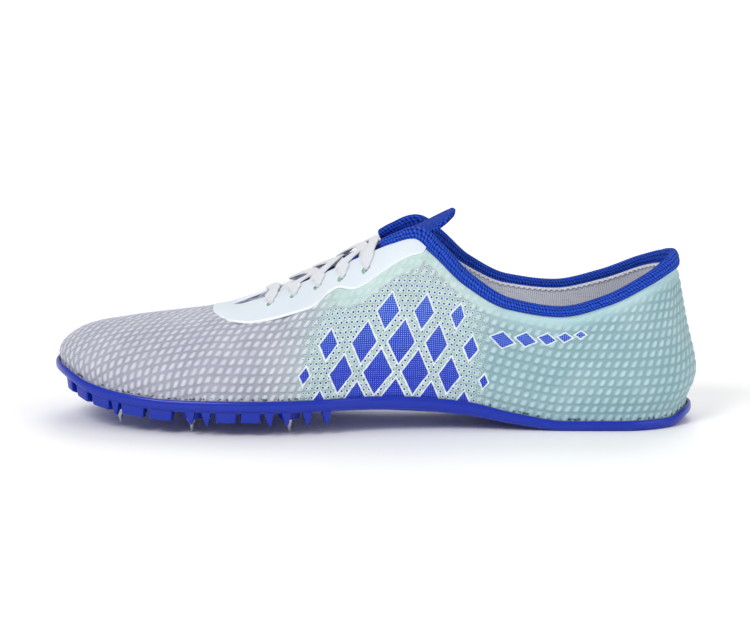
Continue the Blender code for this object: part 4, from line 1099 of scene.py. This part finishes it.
def make_film(rows=70):
    """Sheet on the instep between the throat edge and a width that follows the film's table.
    Its top falls to the knit as a quarter circle at both edges and drops into the slots."""
    tip = np.linspace(FILM.key[0], FILM.key[1], 200)
    tip = np.interp(THROAT_INSET / FILM_WIDTH, FILM.read("width", tip), tip)
    station = np.concatenate((
        np.linspace(tip, 0.468, 26)[:-1], np.linspace(0.468, 0.545, 105)[:-1],
        np.linspace(0.545, 0.575, 50)[:-1], np.linspace(0.575, 0.65, 105)[:-1],
        np.linspace(0.65, 0.70, 44)[:-1], np.linspace(0.70, FILM.key[-1], 20)))
    station[np.abs(station - THROAT_END).argmin()] = THROAT_END
    _, _, half_gap = instep_lines(station)
    distance = np.interp(station, *throat_line())[:, None]
    width = FILM.read("width", station) * FILM_WIDTH
    share = (1 - np.cos(np.linspace(0, np.pi, rows))) * 0.25 + np.linspace(0, 1, rows) * 0.5
    start = np.where(station < THROAT_END, THROAT_INSET, 0.0)
    width[0] = start[0]
    out = start[:, None] + share[None, :] * np.maximum(width - start, 0)[:, None]
    ridge = station >= THROAT_END
    end = int(np.flatnonzero(ridge)[0])
    room = np.minimum(np.where(ridge[:, None], 9 * MM, out - start[:, None]), width[:, None] - out)
    slots = slot_depth(distance, out)
    rise = round_rise(room / (0.7 * MM))
    lift = (0.02 * MM + (FILM_TOP - 0.02 * MM) * rise) * (1 - slots) + 0.1 * MM * slots
    sides = [instep_frames(station, side * (half_gap[:, None] + out)) for side in (1.0, -1.0)]
    middle = direction(sides[0][1][ridge, 0] + sides[1][1][ridge, 0])
    meshes = []
    for base, normal in sides:
        normal[ridge, 0] = middle
        meshes.append(double_sheet(base + normal * lift[..., None], base - normal * 0.25 * MM,
                                   np.s_[:, -1], np.s_[:end + 1, 0]))
    marks = joined(room / MM, slots, 0.0).reshape(-1, 3)
    return meshes, np.concatenate([marks] * 4)


white = Finish("eyestay_film", (212, 221, 229), Roughness=0.5, Specular_IOR_Level=0.35)
film_parts, film_marks = make_film()
room, sunk, _ = white.mark("rim")
# Painted highlight: masks of the film's cut edge and of the slot edges.
rim = 1 - room.ramp(0.25, 0.7)
slot_edge_highlight = sunk.ramp(0.02, 0.15) * (1 - sunk.ramp(0.2, 0.45))
slot_floor = sunk.ramp(0.35, 0.8)
film_cloud = white.noise(45.0, 3.0)
face = white.mix(film_cloud, (206, 215, 224), (220, 228, 235))
# Painted highlight: the cut edge and the slot edges are painted near white.
face = white.mix(rim.most(slot_edge_highlight), face, (246, 249, 251))
speckle = white.noise(1500.0, 2.0)
knit_below = white.mix(speckle.ramp(0.35, 0.65), (84, 112, 104), (168, 204, 186))
white.feed(Base_Color=white.mix(slot_floor, face, knit_below),
           Roughness=0.44 + film_cloud * 0.14 + slot_floor * 0.35)
white.bump(white.noise(260.0, 3.0) + speckle * slot_floor, 0.10 * MM, 0.45)
film = add_piece("eyestay_film", film_parts, white.material, marks={"rim": film_marks})
settle(film, "white_film", "eyestay")


# Laces
# One flat woven lace, 5 mm wide. It lies as a bar across the lowest slots, crosses between
# the rows and ends under a bar at the top slots. Each strand comes up out of a slot, runs
# over the film and the throat edge, and goes under the opposite edge.
def smooth_route(rows, count):
    """Catmull-Rom curve through rows of values, with count points."""
    rows = np.array(rows, dtype=float)
    padded = np.concatenate((2 * rows[:1] - rows[1:2], rows, 2 * rows[-1:] - rows[-2:-1]))
    place = np.linspace(0, len(rows) - 1, count)
    cell = np.minimum(place.astype(int), len(rows) - 2)
    t = (place - cell)[:, None]
    a, b, c, d = (padded[cell + i] for i in range(4))
    square, cube = 2 * a - 5 * b + 4 * c - d, 3 * b - a - 3 * c + d
    return 0.5 * (2 * b + (c - a) * t + square * t ** 2 + cube * t ** 3)


def tube_frame(line, up):
    """Directions across a line of points and over it, square to the line."""
    ahead = direction(np.gradient(line, axis=0))
    across = direction(np.cross(up, ahead))
    return across, np.cross(ahead, across)


def spread(even, run, values):
    """Rows of values that go with a run, at other places along it."""
    return np.stack([np.interp(even, run, column) for column in values.T], axis=-1)


def ribbon(route, count, around=20):
    """Flat oval section carried along a route over the instep. A row of the route is a
    distance down the throat, a distance across, a height over the instep and the width
    there. The section is domed: its upper half is thicker than its lower one."""
    down, across, lift, broad = smooth_route(route, count).T
    centre, normal = instep_frames(throat_station(down), across[:, None])
    centre, normal = centre[:, 0] + normal[:, 0] * lift[:, None], normal[:, 0]
    run = run_along(centre)
    even = np.linspace(0, run[-1], count)
    centre, normal, broad = (spread(even, run, values) for values in (centre, normal, broad[:, None]))
    wide, high = tube_frame(centre, normal)
    cos, sin = squared_circle(around, 0.8)
    flat = cos * broad / 2
    thick = np.where(sin > 0, 0.80, 0.45) * MM * (1 + 0.5 * (1 - broad / LACE_WIDTH).clip(0, 1))
    tall = sin * thick
    points = closed_tube(centre[:, None] + wide[:, None] * flat[..., None] + high[:, None] * tall[..., None])
    uv = joined(even[:, None] / MM, flat / broad * LACE_WIDTH / MM)
    return loops(points), np.concatenate((uv[:1], uv, uv[-1:])).reshape(-1, 2)


def lace_routes():
    """Both bars, and two strands that go from slot to slot between them."""
    def down(row):
        return LACE_FIRST + row * LACE_PITCH

    def gap(row):
        return float(instep_lines(np.array([throat_station(down(row))]))[2][0])

    on_film, over_edge = FILM_TOP + 0.40 * MM, FILM_TOP + 0.55 * MM
    rise, last = SLOT_RISE, LACE_ROWS - 1

    def out_of_slot(row, side):
        """Rows of a strand from under the film, out of its slot and over the throat edge."""
        return [(down(row) - rise * share, side * (gap(row) + out), lift, broad)
                for share, out, lift, broad in (
                    (1, SLOT_INSET - 0.2 * MM, -2.2 * MM, 2.2 * MM),
                    (1, SLOT_INSET - 0.7 * MM, 0.0, 2.4 * MM),
                    (1, SLOT_INSET - 2.2 * MM, on_film, 3.6 * MM),
                    (0.7, SLOT_INSET * 0.5, on_film, 5.4 * MM),
                    (0.2, 0.4 * MM, over_edge, 6.0 * MM))]

    routes = []
    for row in (0, last):
        middle = [(down(row), gap(row) * share, 0.8 * MM, 5.2 * MM) for share in (0.5, 0.0, -0.5)]
        routes.append((out_of_slot(row, 1) + middle + out_of_slot(row, -1)[::-1], 150))
    for start in (1, -1):
        side = start
        route = [(down(last) - rise, side * (gap(last) + SLOT_INSET), -2.6 * MM, 3.0 * MM),
                 (down(last) - 2.0 * MM, side * gap(last), -1.9 * MM, 4.6 * MM)]
        for row in range(last, 0, -1):
            over = 0.75 * MM if (side > 0) == (row % 2 == 0) else -0.35 * MM
            lift = 0.35 * MM if row < last else -0.6 * MM
            route.append((down(row - 0.5), 0.0, lift + over, 5.2 * MM))
            route.append((down(row - 1) + 3.4 * MM, -side * (gap(row - 1) - 0.8 * MM), -1.5 * MM, 4.8 * MM))
            route.append((down(row - 1) + 1.6 * MM, -side * (gap(row - 1) + 2.5 * MM), -2.7 * MM, 4.0 * MM))
            side = -side
            if row > 1:
                route += out_of_slot(row - 1, side)
            else:
                route.append((down(0), side * (gap(0) + SLOT_INSET), -2.2 * MM, 3.0 * MM))
        routes.append((route, 480))
    return routes


lace = Finish("lace_weave", (232, 234, 240), Roughness=0.85, Sheen_Weight=0.2)
u, v = lace.uv()
twill = (u + abs(v) * 0.9).ripple(0.7) * 0.5 + 0.5
pick = v.ripple(0.55) * 0.5 + 0.5
weave = twill * 0.65 + pick * 0.35
lace.feed(Base_Color=lace.mix(weave, (196, 199, 208), (238, 239, 243)))
lace.bump(weave + lace.noise(700.0) * 0.2, 0.16 * MM, 0.8)
lace_parts, lace_uv = zip(*(ribbon(route, count) for route, count in lace_routes()))
laces = add_piece("laces", lace_parts, lace.material, uv=np.concatenate(lace_uv))
settle(laces, "lace_weave", "lace_bar_top", "lace_bar_bottom",
       *[f"lace_cross_{row}" for row in range(1, LACE_ROWS)])


# Seam
# A scalloped white thread on the inner side, where the lining meets the collar band. Its
# loops are 2.4 mm long.
SEAM_LOOP = 2.4 * MM


def make_seam(radius=0.42 * MM, around=8):
    """Round tube below the collar band on its inner face, along a line with a wave in it."""
    point, normal, past, run = collar_line
    even = np.linspace(run[0] + 6 * MM, run[-1] - 6 * MM, 2200)
    point, normal, past = (spread(even, run, values) for values in (point, normal, past))
    wave = np.abs(np.sin(even / SEAM_LOOP * np.pi))[:, None]
    line = point - past * (1.5 - 0.9 * wave) * MM - normal * (1.95 + 0.15 * wave) * MM
    wide, high = tube_frame(line, np.array([0.03, 0.02, 1.0]))
    cos, sin = (part[None, :, None] * radius for part in squared_circle(around, 1.0))
    return loops(closed_tube(line[:, None] + wide[:, None] * cos + high[:, None] * sin))


seam_yarn = Finish("seam_thread", (232, 233, 240), Roughness=0.85)
twist = seam_yarn.noise(900.0, 2.0)
seam_yarn.feed(Base_Color=seam_yarn.mix(twist, (212, 214, 224), (242, 243, 247)))
seam_yarn.bump(twist, 0.08 * MM, 0.7)
settle(add_piece("lining_seam", [make_seam()], seam_yarn.material), "blue_knit")


# Studio
# A white floor that glows a little far from the shoe, a white surround and three soft lamps.
# The camera looks at the outer side, with the toe on the left, from a little above.
floor_mesh = bpy.data.meshes.new("floor")
floor_mesh.from_pydata([(-4, -4, 0), (4, -4, 0), (4, 4, 0), (-4, 4, 0)], [], [(0, 1, 2, 3)])
paper = Finish("floor_paper", (254, 254, 254), Roughness=0.55, Emission_Strength=0.5)
paper_x, paper_y, _ = paper.axes(paper.position())
far = (paper_x * paper_x + paper_y * paper_y).ramp(0.08, 0.9)
paper.feed(Roughness=0.5 + paper.noise(3.0) * 0.1,
           Emission_Color=paper.mix(far, (0, 0, 0), (255, 255, 255)))
floor_mesh.materials.append(paper.material)
show("floor", floor_mesh)

world = bpy.data.worlds.new("surround")
world.use_nodes = True
world.node_tree.nodes["Background"].inputs["Color"].default_value = (1.0, 1.0, 1.0, 1.0)
world.node_tree.nodes["Background"].inputs["Strength"].default_value = 0.58
bpy.context.scene.world = world
bpy.context.scene.view_settings.view_transform = "Standard"


def aim(thing, place, target):
    """Turns an object at a place so that it looks at the target."""
    thing.location = place
    thing.rotation_euler = (Vector(target) - Vector(place)).to_track_quat("-Z", "Y").to_euler()


MIDDLE = (0.0, 0.0, 0.043)
for name, place, size, power in (
        ("key", (0.9, 1.3, 1.5), 0.8, 21), ("fill", (-1.4, 1.0, 0.8), 1.4, 7),
        ("rim", (-0.3, -1.4, 1.3), 1.2, 11)):
    lamp = bpy.data.lights.new(name, "AREA")
    lamp.size = size
    lamp.energy = power
    aim(show(name, lamp), place, MIDDLE)

camera = show("camera", bpy.data.cameras.new("camera"))
ELEVATION = np.radians(10)
DISTANCE = 1.6
camera.data.lens = 178
camera.data.sensor_width = 36
back, up = (float(DISTANCE * part) for part in (np.cos(ELEVATION), np.sin(ELEVATION)))
aim(camera, (0.0, back, MIDDLE[2] + up), MIDDLE)
bpy.context.scene.camera = camera
